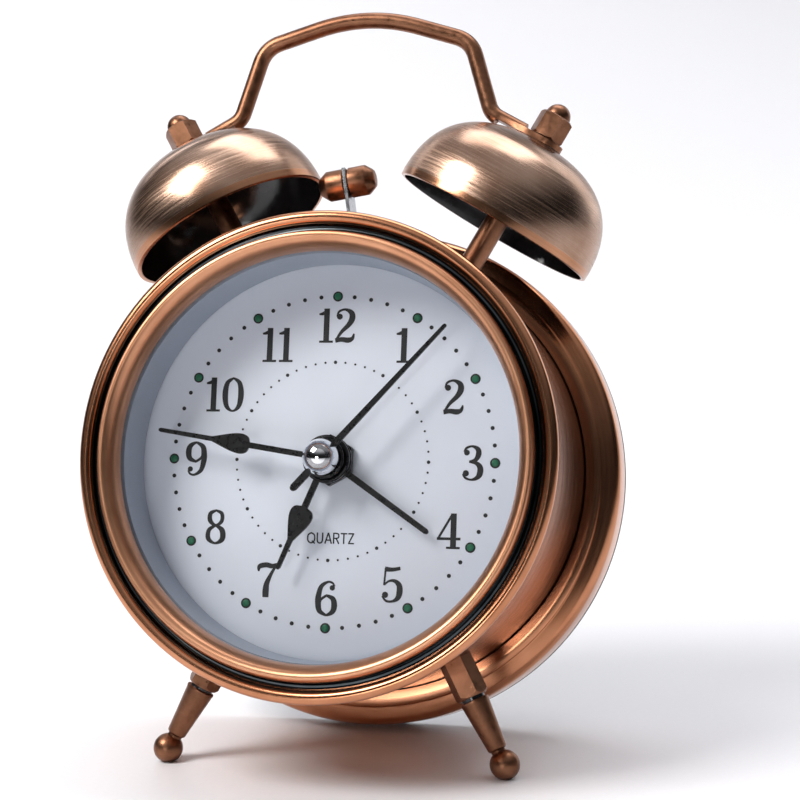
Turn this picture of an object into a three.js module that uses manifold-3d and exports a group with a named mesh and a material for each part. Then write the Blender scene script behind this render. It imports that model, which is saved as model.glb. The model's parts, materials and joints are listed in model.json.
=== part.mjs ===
// A twin-bell alarm clock with a quartz movement, in millimetres.
// The clock is drawn upright about its dial axis: X to the right, +Y from the dial into the case, Z up,
// with y = 0 on the face of the dial. It is then tipped back onto its two feet and its rear rim.
import * as THREE from "three";
import { mergeVertices } from "three/addons/utils/BufferGeometryUtils.js";
import Module from "manifold-3d";

const wasm = await Module();
wasm.setup();

// ---- Driving dimensions -----------------------------------------------------------------------------
const GAP = 0.3; // between pieces that touch
const SHEET = 0.8; // spun sheet metal

const openingRadius = 43.7; // clear opening of the bezel
const beadWidth = 3.7; // inner bead of the bezel
const grooveWidth = 1.3; // dark groove round the bead
const rollWidth = 3; // rolled front edge of the drum
const dialRecess = 12.4; // from the back of the bezel to the dial
const beadHeight = 5.6; // how far the bead stands in front of the bezel's back
const flangeWidth = 7.9; // how far the rear rim stands outside the drum
const rimDepth = 46.6; // from the dial to the rear edge of the copper rim
const rimOverhang = 8.6; // of the rim behind the end of the drum tube
const coverThickness = 1.5;
const leanBack = 13.8; // degrees

const bellAngle = 29.4; // degrees from the vertical
const bellDepth = 16.4; // the bells, the handle and the hammer lie in one plane behind the dial
const bellStandoff = 12.5; // from the drum up its post to the plane of a bell's rim
const bellRadius = 23.8;
const bellHeight = 21.4;
const postRadius = 2.6;
const studRadius = 1.5;
const nutHeight = 5.6;
const nutAcross = 7;

const handleRod = 1.85; // radius
const handleTangent = 13.7; // from a nut's axis to the lower bend
const handleShoulderX = 24.4;
const handleShoulderRise = 23.74; // above the straps that the nuts hold
const handleCrown = 7.6; // from the shoulders up to where the lines of the arched top meet
const strapThickness = 1.3;
const strapWidth = 6.4;

const legTilt = 28; // degrees from straight down
const legDepth = 10.5;
const footX = 38; // the middle of the ball at the end of each leg
const footDrop = 13.7; // from the bottom of the drum down to it
const footRadius = 3.27;
const neckLength = 3.6; // from the middle of the ball up to the cone
const coneLength = 11.4;
const legGroove = 0.7; // between the cone and the hexagon

const hammerPivotDepth = 4.3; // from the outside of the drum in to the pin
const hammerArm = 19.8; // pivot to the middle of the head
const hammerRest = 9.6; // degrees that the arm leans towards the left bell
const hammerTail = 14.5;
const headRadius = 3.45;
const headLength = 13.2;
const armWidth = 6.4;
const armThickness = 0.8;

const alarmHandY = -2.6;
const handStep = 1.8; // from one hand to the next
const handThickness = 0.6;
const minuteLength = 38;
const hourLength = 25.8;
const alarmLength = 27.2;
const secondLength = 38.7;
const secondTail = 9.6;
const handBoss = 5.2;
const capRadius = 3.9;
const minuteAngle = 278.7; // degrees clockwise from twelve
const hourAngle = 202.6;
const secondAngle = 42.4;
const alarmAngle = 124.2;

const gearGap = 9.6; // between the centre arbors and each setting arbor
const settingAngle = 42; // degrees above the horizontal
const gearThickness = 0.8;
const pinionTeeth = 12;
const wheelTeeth = 36;
const hourPinionTeeth = 10;
const hourWheelTeeth = 40;
const knobRadius = 6;
const knobLength = 6.8;
const shaftRadius = 1.1;

const cellRadius = 7.25;
const cellLength = 50.5;
const cellGap = 0.7; // between the two cells
const holderTop = -1.6;
const holderWall = 1.2;

const switchTravel = 6;
const switchZ = 28;

const LARGE = 36; // facets of the round pieces
const MEDIUM = 28;
const SMALL = 16;

// ---- Places worked out from them --------------------------------------------------------------------
const bezelBack = -dialRecess;
const bezelCrest = bezelBack - beadHeight;
const beadOuter = openingRadius + beadWidth;
const bezelRadius = beadOuter + grooveWidth;
const rollInner = bezelRadius + GAP;
const rollOuter = rollInner + rollWidth;
const rollMiddle = (rollInner + rollOuter) / 2;
const rollCrest = bezelBack - 3.8;
const drumRadius = rollInner + SHEET;
const drumInner = rollInner;
const bellRimHeight = drumRadius + bellStandoff;
const footZ = -drumRadius - footDrop;
const hammerPivotZ = drumRadius - hammerPivotDepth;
const rimRadius = drumRadius + flangeWidth;
const drumDepth = rimDepth - rimOverhang;
const rimFront = drumDepth - 2;
const coverFront = rimDepth + GAP;
const coverBack = coverFront + coverThickness;
const lensRadius = openingRadius + 2.1;
const lensBack = bezelBack + GAP + 1.2;
const dialThickness = 0.8;
const dialRadius = drumInner - 1.2;

const hourHandY = alarmHandY - handStep;
const minuteHandY = hourHandY - handStep;
const secondHandY = minuteHandY - handStep;
const tubes = { second: 0.5, minute: [0.7, 1.1], hour: [1.3, 1.9], alarm: [2.1, 2.7], bush: [2.95, 4] };

const movementFront = dialThickness + GAP;
const movementWall = 1.2;
const alarmWheelY = movementFront + movementWall + 0.9;
const hourWheelY = alarmWheelY + 1.8;
const minuteWheelY = hourWheelY + 2;
const secondWheelY = minuteWheelY + 2.2;
const movementBack = secondWheelY + 4.8;
const movementHalf = 20;
const movementMidZ = 2;
const movementSplit = (movementFront + movementBack) / 2;
const gearModule = (2 * gearGap) / (pinionTeeth + wheelTeeth);
const settingX = gearGap * Math.cos(rad(settingAngle));
const settingZ = gearGap * Math.sin(rad(settingAngle));

const bellTop = bellRimHeight + bellHeight;
const strapBase = bellTop + 0.2;
const nutBase = strapBase + strapThickness + 0.2;

const holderInsideX = cellLength / 2 + 1.4;
const cellTopZ = holderTop - holderWall - cellRadius - 0.4;
const cellBottomZ = cellTopZ - 2 * cellRadius - cellGap;
const holderBottom = cellBottomZ - cellRadius - 0.4 - holderWall;
const holderMidZ = (holderTop + holderBottom) / 2;
const holderFront = coverFront - GAP - 2 * cellRadius - 2.4;
const cellY = holderFront + holderWall + GAP + cellRadius;
const doorHalfX = holderInsideX - 0.2;
const doorHalfZ = (holderTop - holderBottom) / 2 - holderWall;
const doorHingeZ = holderMidZ + doorHalfZ - coverThickness / 2;

// ---- Materials --------------------------------------------------------------------------------------
function finish(color, metalness, roughness) {
  return new THREE.MeshStandardMaterial({ color, metalness, roughness });
}

const brushedCopper = finish(0xb08d6e, 1, 0.32);
const polishedCopper = finish(0xa5572c, 1, 0.16);
const satinCopper = finish(0xb8713f, 1, 0.28);
const agedCopper = finish(0x8a4c2a, 1, 0.38);
const steel = finish(0x9a9a9c, 1, 0.35);
const brass = finish(0xc9a24a, 1, 0.3);
const chrome = finish(0xe2e4e8, 1, 0.06);
const blackEnamel = finish(0x0a0a0c, 0, 0.35);
const blackPlastic = finish(0x141416, 0, 0.5);
const whitePlastic = finish(0xe6e8ee, 0, 0.45);
const dialWhite = finish(0xdfe4ee, 0, 0.6);
const clearGlass = new THREE.MeshStandardMaterial({
  color: 0xf4f8fa,
  metalness: 0,
  roughness: 0.04,
  transparent: true,
  opacity: 0.2,
});
const windingCopper = finish(0xb4552a, 1, 0.4);
const boardGreen = finish(0x1f5a3a, 0, 0.55);
const cellGrey = finish(0x55585e, 0.4, 0.4);

// ---- Solids -----------------------------------------------------------------------------------------
function rad(degrees) {
  return (degrees * Math.PI) / 180;
}

function solid(geometry) {
  const bare = geometry.clone();
  bare.deleteAttribute("normal");
  bare.deleteAttribute("uv");
  const merged = mergeVertices(bare, 1e-4);
  const vertProperties = merged.attributes.position.array;
  const triVerts = new Uint32Array(merged.index.array);
  const made = new wasm.Manifold(new wasm.Mesh({ numProp: 3, vertProperties, triVerts }));
  if (made.volume() > 0) return made;
  triVerts.reverse();
  return new wasm.Manifold(new wasm.Mesh({ numProp: 3, vertProperties, triVerts }));
}

function join(...geometries) {
  return geometryOf(geometries.map(solid).reduce((all, next) => all.add(next)));
}

function cut(geometry, ...tools) {
  return geometryOf(tools.map(solid).reduce((left, tool) => left.subtract(tool), solid(geometry)));
}

function geometryOf(made) {
  const { vertProperties, triVerts } = made.getMesh();
  const geometry = new THREE.BufferGeometry();
  geometry.setAttribute("position", new THREE.BufferAttribute(new Float32Array(vertProperties), 3));
  geometry.setIndex(new THREE.BufferAttribute(new Uint32Array(triVerts), 1));
  return geometry;
}

// A round piece about the depth axis, from [radius, y] points.
function turned(points, facets = LARGE) {
  return new THREE.LatheGeometry(points.map(([r, y]) => new THREE.Vector2(r, y)), facets);
}

// A ring of rectangular section about the depth axis.
function ring(inner, outer, y0, y1, facets = LARGE) {
  return turned([[inner, y0], [outer, y0], [outer, y1], [inner, y1], [inner, y0]], facets);
}

// A round bar along the depth axis.
function bar(radius, y0, y1, facets = SMALL) {
  return turned([[0, y0], [radius, y0], [radius, y1], [0, y1]], facets);
}

// The same round pieces standing along Z.
function upright(geometry) {
  return geometry.rotateX(Math.PI / 2);
}

// A flat outline of [x, z] points, from y0 to y1.
function plate(points, y0, y1) {
  const outline = new THREE.Shape(points.map(([x, z]) => new THREE.Vector2(x, z)));
  const sheet = new THREE.ExtrudeGeometry(outline, { depth: y1 - y0, bevelEnabled: false });
  return sheet.rotateX(Math.PI / 2).translate(0, y1, 0);
}

// A block given by its two corners.
function block(x0, y0, z0, x1, y1, z1) {
  const box = new THREE.BoxGeometry(x1 - x0, y1 - y0, z1 - z0);
  return box.translate((x0 + x1) / 2, (y0 + y1) / 2, (z0 + z1) / 2);
}

// A hexagonal bar standing along Z.
function hexagon(across, z0, z1) {
  return upright(bar(across / Math.sqrt(3), z0, z1, 6));
}

function arc(cx, cy, radius, from, to, steps) {
  return Array.from({ length: steps + 1 }, (_, i) => {
    const angle = rad(from + ((to - from) * i) / steps);
    return [cx + radius * Math.cos(angle), cy + radius * Math.sin(angle)];
  });
}

// ---- The scene --------------------------------------------------------------------------------------
const clock = new THREE.Group();

function add(name, geometry, material, parent = clock) {
  const mesh = new THREE.Mesh(geometry, material);
  mesh.name = name;
  parent.add(mesh);
  return mesh;
}

// A frame whose Z axis points out of the case at an angle clockwise from twelve.
function spoke(angle, depth) {
  const group = new THREE.Group();
  group.position.y = depth;
  group.rotation.y = rad(angle);
  clock.add(group);
  return group;
}

// The same turn for a cutting tool.
function onSpoke(geometry, angle, depth) {
  return geometry.rotateY(rad(angle)).translate(0, depth, 0);
}

// ---- Case -------------------------------------------------------------------------------------------
function makeDrum() {
  const lip = bezelBack + GAP;
  const rollRadius = rollWidth / 2;
  const rollY = rollCrest + rollRadius;
  const profile = [
    [drumInner, drumDepth],
    [drumInner, lensBack + GAP],
    [lensRadius + GAP, lensBack + GAP],
    [lensRadius + GAP, lip],
    [rollInner, lip],
    ...arc(rollMiddle, rollY, rollRadius, 180, 375, 8),
    [drumRadius + 0.9, rollY + 3],
    [drumRadius + 0.1, rollY + 6.5],
    [drumRadius, rollY + 9],
    [drumRadius, drumDepth],
    [drumInner, drumDepth],
  ];
  const holes = [bellAngle, -bellAngle].map((angle) => studHole(angle, bellDepth));
  holes.push(...[-1, 1].map((side) => legHole(side)));
  add("case_drum", cut(turned(profile), ...holes, hammerSlot()), polishedCopper);
}

function studHole(angle, depth) {
  const hole = upright(bar(studRadius + 0.2, drumInner - 3, drumRadius + 3, 12));
  return onSpoke(hole, angle, depth);
}

function legHole(side) {
  const { x, z, turn } = legLine(side);
  const hole = upright(bar(studRadius + 0.2, drumInner - 10, drumRadius + 6, 12));
  return hole.rotateY(turn).translate(x, legDepth, z);
}

// A leg runs from near the dial axis out to its ball. Its frame has Z along the leg and the ball at `reach`.
function legLine(side) {
  const reach = drumRadius + 24.3;
  const turn = Math.PI - side * rad(legTilt);
  const x = side * (footX - reach * Math.sin(rad(legTilt)));
  const z = footZ + reach * Math.cos(rad(legTilt));
  return { x, z, reach, turn };
}

// The arm swings in this slot in the top of the drum.
function hammerSlot() {
  const halfY = armWidth / 2 + 0.6;
  const halfX = (drumRadius - hammerPivotZ) * Math.tan(rad(hammerRest + 3)) + armThickness + 1.4;
  return block(-halfX, bellDepth - halfY, drumInner - 4, halfX, bellDepth + halfY, drumRadius + 2);
}

function makeBezel() {
  const lipInner = openingRadius;
  const profile = [
    [lipInner, bezelBack],
    [lipInner, bezelBack - 0.6],
    [lipInner + 0.15, bezelBack - 2.4],
    [lipInner + 0.8, bezelBack - 4.1],
    [lipInner + 1.8, bezelCrest + 0.3],
    [lipInner + 2.7, bezelCrest],
    [beadOuter - 0.35, bezelCrest + 0.5],
    [beadOuter, bezelCrest + 1.6],
    [beadOuter + 0.3, bezelBack - 2.4],
    [bezelRadius - 0.4, bezelBack - 2],
    [bezelRadius, bezelBack - 2.3],
    [bezelRadius, bezelBack],
    [lipInner, bezelBack],
  ];
  add("front_bezel", turned(profile), satinCopper);
}

// A gently domed lens, whose thickness is the same at the rim and the middle.
function makeLens() {
  const rise = 3.2;
  const steps = 3;
  const front = lensBack - 1.2;
  const dome = (y, edge) =>
    Array.from({ length: steps + 1 }, (_, i) => {
      const share = i / steps;
      return [edge * share, y - rise * (1 - share * share)];
    });
  const rim = openingRadius - 1;
  const edge = [[lensRadius, front], [lensRadius, lensBack]];
  const profile = [...dome(front, rim), ...edge, ...dome(lensBack, rim).reverse()];
  add("front_lens", turned(profile), clearGlass);
}

function makeDial() {
  const ringInner = openingRadius - 0.1;
  const front = lensBack + GAP;
  add("reflector_ring", ring(ringInner, ringInner + 1, front, -GAP), whitePlastic);
  add("dial_plate", ring(tubes.bush[1] + GAP, dialRadius, 0, dialThickness), dialWhite);
}

function makeRearRim() {
  const bore = drumRadius + GAP;
  const profile = [
    [bore, rimFront],
    [bore + 3.2, rimFront + 0.15],
    [bore + 3.5, rimFront + 0.6],
    [rimRadius - 1.6, rimFront + 0.9],
    [rimRadius - 0.5, rimFront + 1.8],
    [rimRadius, rimFront + 3.2],
    [rimRadius, rimDepth],
    [rimRadius - 1.2, rimDepth],
    [rimRadius - 1.2, rimFront + 3.6],
    [rimRadius - 2.4, rimFront + 2.2],
    [bore, rimFront + 1.6],
    [bore, rimFront],
  ];
  add("rear_rim", turned(profile), polishedCopper);
}

function makeBackCover() {
  const body = turned([
    [0, coverFront],
    [rimRadius - 0.3, coverFront],
    [rimRadius, coverFront + 0.4],
    [rimRadius, coverBack - 0.5],
    [rimRadius - 0.7, coverBack],
    [0, coverBack],
  ]);
  const doorway = block(
    -doorHalfX - GAP,
    coverFront - 1,
    holderMidZ - doorHalfZ - GAP,
    doorHalfX + GAP,
    coverBack + 1,
    holderMidZ + doorHalfZ + GAP,
  );
  const shaftHoles = [-1, 1].map((side) =>
    bar(shaftRadius + 0.4, coverFront - 1, coverBack + 1).translate(side * settingX, 0, settingZ),
  );
  const slot = block(
    -switchTravel / 2 - 2.2,
    coverFront - 1,
    switchZ - 1.4,
    switchTravel / 2 + 2.2,
    coverBack + 1,
    switchZ + 1.4,
  );
  const screwHoles = screwPlaces().map(([x, z]) =>
    bar(1.3, coverFront - 1, coverBack + 1, 12).translate(x, 0, z),
  );
  add("back_cover", cut(body, doorway, ...shaftHoles, slot, ...screwHoles, groundTool()), blackPlastic);
}

function screwPlaces() {
  const circle = drumRadius - 5.5;
  return [0, 120, 240].map((angle) => [
    circle * Math.sin(rad(angle)),
    circle * Math.cos(rad(angle)),
  ]);
}

function makeScrews() {
  screwPlaces().forEach(([x, z], i) => {
    const head = turned([
      [0, coverBack + 0.2],
      [2.4, coverBack + 0.2],
      [2.4, coverBack + 0.8],
      [1.6, coverBack + 1.4],
      [0, coverBack + 1.6],
    ], SMALL);
    const shank = bar(1, coverFront - 6, coverBack + 0.5, 12);
    const cross = [block(-1.4, coverBack + 0.9, -0.25, 1.4, coverBack + 3, 0.25)];
    cross.push(block(-0.25, coverBack + 0.9, -1.4, 0.25, coverBack + 3, 1.4));
    const screw = add("back_screw_" + (i + 1), cut(join(head, shank), ...cross), steel);
    screw.position.set(x, 0, z);
  });
}

// ---- Bells, handle and feet -------------------------------------------------------------------------
// A dome that is fuller than an ellipse: its outline at a share of a quarter turn.
function domePoint(radius, height, share) {
  const angle = (share * Math.PI) / 2;
  const fullness = 0.8;
  return [radius * Math.cos(angle) ** fullness, height * Math.sin(angle) ** fullness];
}

function makeBell(side, name) {
  const steps = 7;
  const shares = Array.from({ length: steps }, (_, i) => i / steps);
  const hole = studRadius + 0.2;
  const outer = shares.map((s) => domePoint(bellRadius, bellHeight, s));
  const inner = shares.map((s) => domePoint(bellRadius - 1.1, bellHeight - 1, s)).reverse();
  const profile = [...outer, [hole, bellHeight], [hole, bellHeight - 1], ...inner, outer[0]];
  const group = spoke(side * bellAngle, bellDepth);
  const shell = upright(turned(profile, MEDIUM)).translate(0, 0, bellRimHeight);
  add("bell_" + name, shell, brushedCopper, group);

  const shoulder = bellTop - 1 - GAP;
  const post = upright(turned([
    [0, drumInner - 5],
    [studRadius, drumInner - 5],
    [studRadius, drumRadius + GAP],
    [postRadius, drumRadius + GAP],
    [postRadius, shoulder],
    [studRadius, shoulder],
    [studRadius, nutBase + nutHeight - 1],
    [0, nutBase + nutHeight - 1],
  ], SMALL));
  add("bell_post_" + name, post, agedCopper, group);
  add("post_nut_" + name, studNut(), steel, group);

  const bore = upright(bar(studRadius + 0.2, nutBase - 1, nutBase + nutHeight - 0.7, 12));
  const crown = upright(turned(
    [[0, nutBase + nutHeight - 0.1], ...arc(0, nutBase + nutHeight - 0.1, 2.9, 0, 90, 4)],
    SMALL,
  ));
  const nut = cut(join(hexagon(nutAcross, nutBase, nutBase + nutHeight), crown), bore);
  add("acorn_nut_" + name, nut, agedCopper, group);
}

// The hexagon nut that holds a stud inside the drum.
function studNut() {
  const top = drumInner - 1.2;
  const nut = hexagon(5.5, top - 2.4, top);
  return cut(nut, upright(bar(studRadius + 0.2, top - 3, top + 1, 12)));
}

function makeHandle() {
  const group = new THREE.Group();
  group.position.y = bellDepth;
  clock.add(group);

  const strapMid = strapBase + strapThickness / 2;
  const tilt = rad(bellAngle);
  const nutX = strapMid * Math.sin(tilt);
  const nutZ = strapMid * Math.cos(tilt);
  const lowerX = nutX - handleTangent * Math.cos(tilt);
  const lowerZ = nutZ + handleTangent * Math.sin(tilt);
  const startX = nutX - 5 * Math.cos(tilt);
  const startZ = nutZ + 5 * Math.sin(tilt);
  const shoulderZ = nutZ + handleShoulderRise;
  const corners = [
    [-startX, startZ, 0],
    [-lowerX, lowerZ, 5],
    [-handleShoulderX, shoulderZ, 7],
    [0, shoulderZ + handleCrown, 60],
    [handleShoulderX, shoulderZ, 7],
    [lowerX, lowerZ, 5],
    [startX, startZ, 0],
  ];
  const section = new THREE.Shape();
  section.absarc(0, 0, handleRod, 0, 2 * Math.PI);
  const rod = new THREE.ExtrudeGeometry(section, {
    steps: 36,
    curveSegments: 5,
    bevelEnabled: false,
    extrudePath: roundedPath(corners),
  });
  const straps = [1, -1].map((side) => {
    const reach = strapWidth / 2 + 1.5;
    const strap = block(-reach, -strapWidth / 2, strapBase, 8, strapWidth / 2, strapBase + strapThickness);
    const flat = side > 0 ? strap.rotateZ(Math.PI) : strap;
    return flat.rotateY(side * tilt);
  });
  const holes = [1, -1].map((side) =>
    upright(bar(studRadius + 0.2, strapBase - 1, nutBase + 1, 12)).rotateY(side * tilt),
  );
  const spanner = nutAcross / Math.sqrt(3) + 0.5;
  const clearance = [1, -1].flatMap((side) => [
    block(-12, -6, strapBase - 4, 12, 6, strapBase).rotateY(side * tilt),
    upright(bar(spanner, strapBase + strapThickness, nutBase + 9, 12)).rotateY(side * tilt),
  ]);
  add("handle", cut(join(rod, ...straps), ...holes, ...clearance), agedCopper, group);
}

// Straight runs between corners [x, z, radius], with each corner rounded by a quadratic bend.
function roundedPath(corners) {
  const path = new THREE.CurvePath();
  const points = corners.map(([x, z]) => new THREE.Vector3(x, 0, z));
  let from = points[0];
  for (let i = 1; i < points.length - 1; i++) {
    const toPrevious = points[i - 1].clone().sub(points[i]);
    const toNext = points[i + 1].clone().sub(points[i]);
    const opening = toPrevious.angleTo(toNext);
    const wanted = corners[i][2] / Math.tan(opening / 2);
    const reach = Math.min(wanted, 0.49 * toPrevious.length(), 0.49 * toNext.length());
    const enter = points[i].clone().addScaledVector(toPrevious.normalize(), reach);
    const leave = points[i].clone().addScaledVector(toNext.normalize(), reach);
    path.add(new THREE.LineCurve3(from, enter));
    path.add(new THREE.QuadraticBezierCurve3(enter, points[i], leave));
    from = leave;
  }
  path.add(new THREE.LineCurve3(from, points.at(-1)));
  return path;
}

function makeFoot(side, name) {
  const { x, z, reach, turn } = legLine(side);
  const group = new THREE.Group();
  group.position.set(x, legDepth, z);
  group.rotation.y = turn;
  clock.add(group);

  const coneEnd = reach - neckLength;
  const coneStart = coneEnd - coneLength;
  const hexEnd = coneStart - legGroove;
  const neck = 1.6;
  const turnedPart = upright(turned([
    [0, drumInner - 5],
    [studRadius, drumInner - 5],
    [studRadius, drumRadius + 2],
    [2.7, drumRadius + 2],
    [2.7, coneStart],
    [3.2, coneStart + 0.2],
    [2.1, coneEnd],
    [neck, coneEnd + 0.3],
    [neck, reach - 2.4],
    ...arc(0, reach, footRadius, -52, 90, 7),
  ], SMALL));
  const hex = hexagon(6.5, drumRadius - 2, hexEnd);
  const toLeg = (tool) => tool.translate(-x, -legDepth, -z).rotateY(-turn);
  // The stud itself stays whole where the leg is shaped to the drum.
  const stud = upright(bar(studRadius, 0, 80, 12)).rotateY(turn).translate(x, legDepth, z);
  const drumBody = cut(bar(drumRadius + GAP, -20, 60, LARGE), stud);
  add("foot_" + name, cut(join(turnedPart, hex), toLeg(drumBody), toLeg(groundTool())), agedCopper, group);
  add("foot_nut_" + name, studNut(), steel, group);
}

// Everything below the surface that the clock stands on, in the upright clock's frame.
function groundTool() {
  return block(-90, -90, -140, 90, 90, -groundDrop()).rotateX(rad(leanBack));
}

// From the dial axis down to the surface that the tipped clock stands on.
function groundDrop() {
  const lean = rad(leanBack);
  return rimRadius * Math.cos(lean) + (coverBack - 0.6) * Math.sin(lean) - 0.3;
}

// ---- Hammer -----------------------------------------------------------------------------------------
function makeHammer() {
  const swing = new THREE.Group();
  swing.position.set(0, bellDepth, hammerPivotZ);
  swing.rotation.y = -rad(hammerRest);
  clock.add(swing);

  const halfY = armWidth / 2;
  const half = armThickness / 2;
  const strip = block(-half, -halfY, -hammerTail, half, halfY, hammerArm + headRadius - 0.4);
  const boss = bar(1.9, -halfY, halfY);
  const bore = bar(1, -halfY - 1, halfY + 1);
  add("hammer_arm", cut(join(strip, boss), bore), steel, swing);

  const chamfer = 1.5;
  [-1, 1].forEach((side) => {
    const reach = headLength / 2;
    const start = half + 0.1;
    const profile = [
      [0, start],
      [headRadius, start],
      [headRadius, reach - chamfer - 0.6],
      [headRadius - chamfer * 0.8, reach - 0.5],
      [headRadius - chamfer * 1.5, reach],
      [0, reach],
    ];
    const cap = turned(profile, SMALL).rotateZ(-side * (Math.PI / 2)).translate(0, 0, hammerArm);
    add("hammer_head_" + (side < 0 ? "left" : "right"), cap, agedCopper, swing);
  });
  const magnet = block(-2, -2.6, -hammerTail - 4.3, 2, 2.6, -hammerTail - 0.2);
  add("hammer_magnet", magnet, steel, swing);
}

function makeHammerDrive() {
  const ear = 1;
  const innerY = armWidth / 2 + 0.6;
  const bottom = hammerPivotZ - hammerTail - 8.6;
  const group = new THREE.Group();
  group.position.set(0, bellDepth, 0);
  clock.add(group);

  const top = hammerPivotZ + 1.8;
  const ears = [-1, 1].map((side) => {
    const y = side * (innerY + ear / 2);
    return block(-4, y - ear / 2, bottom, 4, y + ear / 2, top);
  });
  const base = block(-4, -innerY - ear, bottom - 1, 17, innerY + ear, bottom);
  const pinHole = bar(1, -innerY - 3, innerY + 3);
  const bracket = cut(join(...ears, base), pinHole.translate(0, 0, hammerPivotZ));
  add("hammer_bracket", bracket, steel, group);
  const pin = bar(0.8, -innerY - ear - 0.8, innerY + ear + 0.8);
  add("hammer_pivot_pin", pin.translate(0, 0, hammerPivotZ), steel, group);

  const coilZ = hammerPivotZ - hammerTail - 2.4;
  const core = bar(1.5, 6.6, 16).rotateZ(-Math.PI / 2);
  const coreHead = bar(2.6, 6, 6.8).rotateZ(-Math.PI / 2);
  const coreFoot = block(15.5, -3, -5.9, 16.8, 3, 3);
  add("strike_coil_core", join(core, coreHead, coreFoot).translate(0, 0, coilZ), steel, group);
  const winding = ring(1.8, 4, 7.1, 15.2, SMALL).rotateZ(-Math.PI / 2);
  add("strike_coil", winding.translate(0, 0, coilZ), windingCopper, group);
}

// ---- Hands ------------------------------------------------------------------------------------------
// A frame turned to a hand's reading, whose Z axis points along the hand.
function dialGroup(angle) {
  const group = new THREE.Group();
  group.rotation.y = rad(angle);
  clock.add(group);
  return group;
}

// A long tapering hand with a drop-shaped swelling that starts `dropFrom` and ends `dropTo` along it.
function dropHand(length, dropFrom, dropTo, dropHalf, tipHalf) {
  const right = [[tipHalf * 1.4, 2], [tipHalf * 1.4, dropFrom]];
  const steps = 6;
  for (let i = 1; i < steps; i++) {
    const share = i / steps;
    const swell = Math.sin(Math.PI * Math.sqrt(share));
    right.push([tipHalf * 1.2 + (dropHalf - tipHalf) * swell, dropFrom + (dropTo - dropFrom) * share]);
  }
  right.push([tipHalf * 1.2, dropTo], [tipHalf, length - tipHalf], [tipHalf * 0.5, length]);
  const left = right.map(([x, z]) => [-x, z]).reverse();
  return [...right, ...left];
}

function straightHand(from, to, rootHalf, tipHalf) {
  const right = [[rootHalf, from], [tipHalf, to - tipHalf], [tipHalf * 0.5, to]];
  const left = right.map(([x, z]) => [-x, z]).reverse();
  return [...right, ...left];
}

function hub(inner, outer, y, extra = 0) {
  return ring(inner, outer, y - handThickness / 2 - extra, y + handThickness / 2, SMALL);
}

function hand(outline, y) {
  return plate(outline, y - handThickness / 2, y + handThickness / 2);
}

function makeHands() {
  const bores = [tubes.alarm, tubes.hour, tubes.minute].map(([, outer]) => outer + 0.05);
  const alarm = dialGroup(alarmAngle);
  const alarmTool = bar(bores[0], alarmHandY - 3, alarmHandY + 3);
  const alarmShape = join(
    hand(straightHand(2, alarmLength, 0.7, 0.65), alarmHandY),
    bar(handBoss, alarmHandY - 0.3, alarmHandY + 0.3),
  );
  add("alarm_hand", cut(alarmShape, alarmTool), blackEnamel, alarm);

  const hour = dialGroup(hourAngle);
  const hourShape = join(
    hand(dropHand(hourLength, 11.3, 19, 2.5, 0.5), hourHandY),
    bar(handBoss, hourHandY - 0.3, hourHandY + 0.3),
  );
  add("hour_hand", cut(hourShape, bar(bores[1], hourHandY - 3, hourHandY + 3)), blackEnamel, hour);

  const minute = dialGroup(minuteAngle);
  const minuteShape = join(
    hand(dropHand(minuteLength, 17, 25.6, 2.1, 0.45), minuteHandY),
    bar(4.4, minuteHandY - 0.3, minuteHandY + 0.3),
  );
  const minuteBore = bar(bores[2], minuteHandY - 3, minuteHandY + 3);
  add("minute_hand", cut(minuteShape, minuteBore), blackEnamel, minute);

  const second = dialGroup(secondAngle);
  const needle = hand(straightHand(2, secondLength, 0.75, 0.4), secondHandY);
  const tail = hand(straightHand(1, secondTail, 0.8, 0.8), secondHandY).rotateY(Math.PI);
  const secondShape = join(needle, tail, bar(3, secondHandY - 0.3, secondHandY + 0.3));
  const secondBore = bar(tubes.second + 0.05, secondHandY - 3, secondHandY + 3);
  add("second_hand", cut(secondShape, secondBore), blackEnamel, second);
  const capBack = secondHandY - 0.4;
  const dome = turned([[0, capBack], ...arc(0, capBack - 0.6, capRadius, 0, -90, 5)], SMALL);
  const capHole = bar(tubes.second + 0.1, secondHandY - 2.2, secondHandY + 1, 12);
  add("centre_cap", cut(dome, capHole), chrome, second);
  return { alarm, hour, minute, second };
}

// ---- Movement ---------------------------------------------------------------------------------------
// A toothed outline: `phase` is the angle of one tooth, clockwise from twelve in degrees.
function toothed(teeth, module, phase) {
  const pitch = 360 / teeth;
  const tipRadius = (teeth * module) / 2 + 0.8 * module;
  const rootRadius = (teeth * module) / 2 - 1.05 * module;
  const rootHalf = 0.3 * pitch;
  const tipHalf = 0.11 * pitch;
  const points = [];
  for (let i = 0; i < teeth; i++) {
    const middle = phase + i * pitch;
    [[-rootHalf, rootRadius], [-tipHalf, tipRadius], [tipHalf, tipRadius], [rootHalf, rootRadius]].forEach(
      ([turn, radius]) => {
        const angle = rad(middle + turn);
        points.push([radius * Math.sin(angle), radius * Math.cos(angle)]);
      },
    );
  }
  return points;
}

function gear(teeth, module, phase, y, thickness = gearThickness) {
  return plate(toothed(teeth, module, phase), y, y + thickness);
}

// The gears lie in the upright frame; a turned hand's frame is undone for what shares its shaft.
function addOnShaft(name, geometry, material, group) {
  return add(name, geometry.rotateY(-group.rotation.y), material, group);
}

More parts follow.
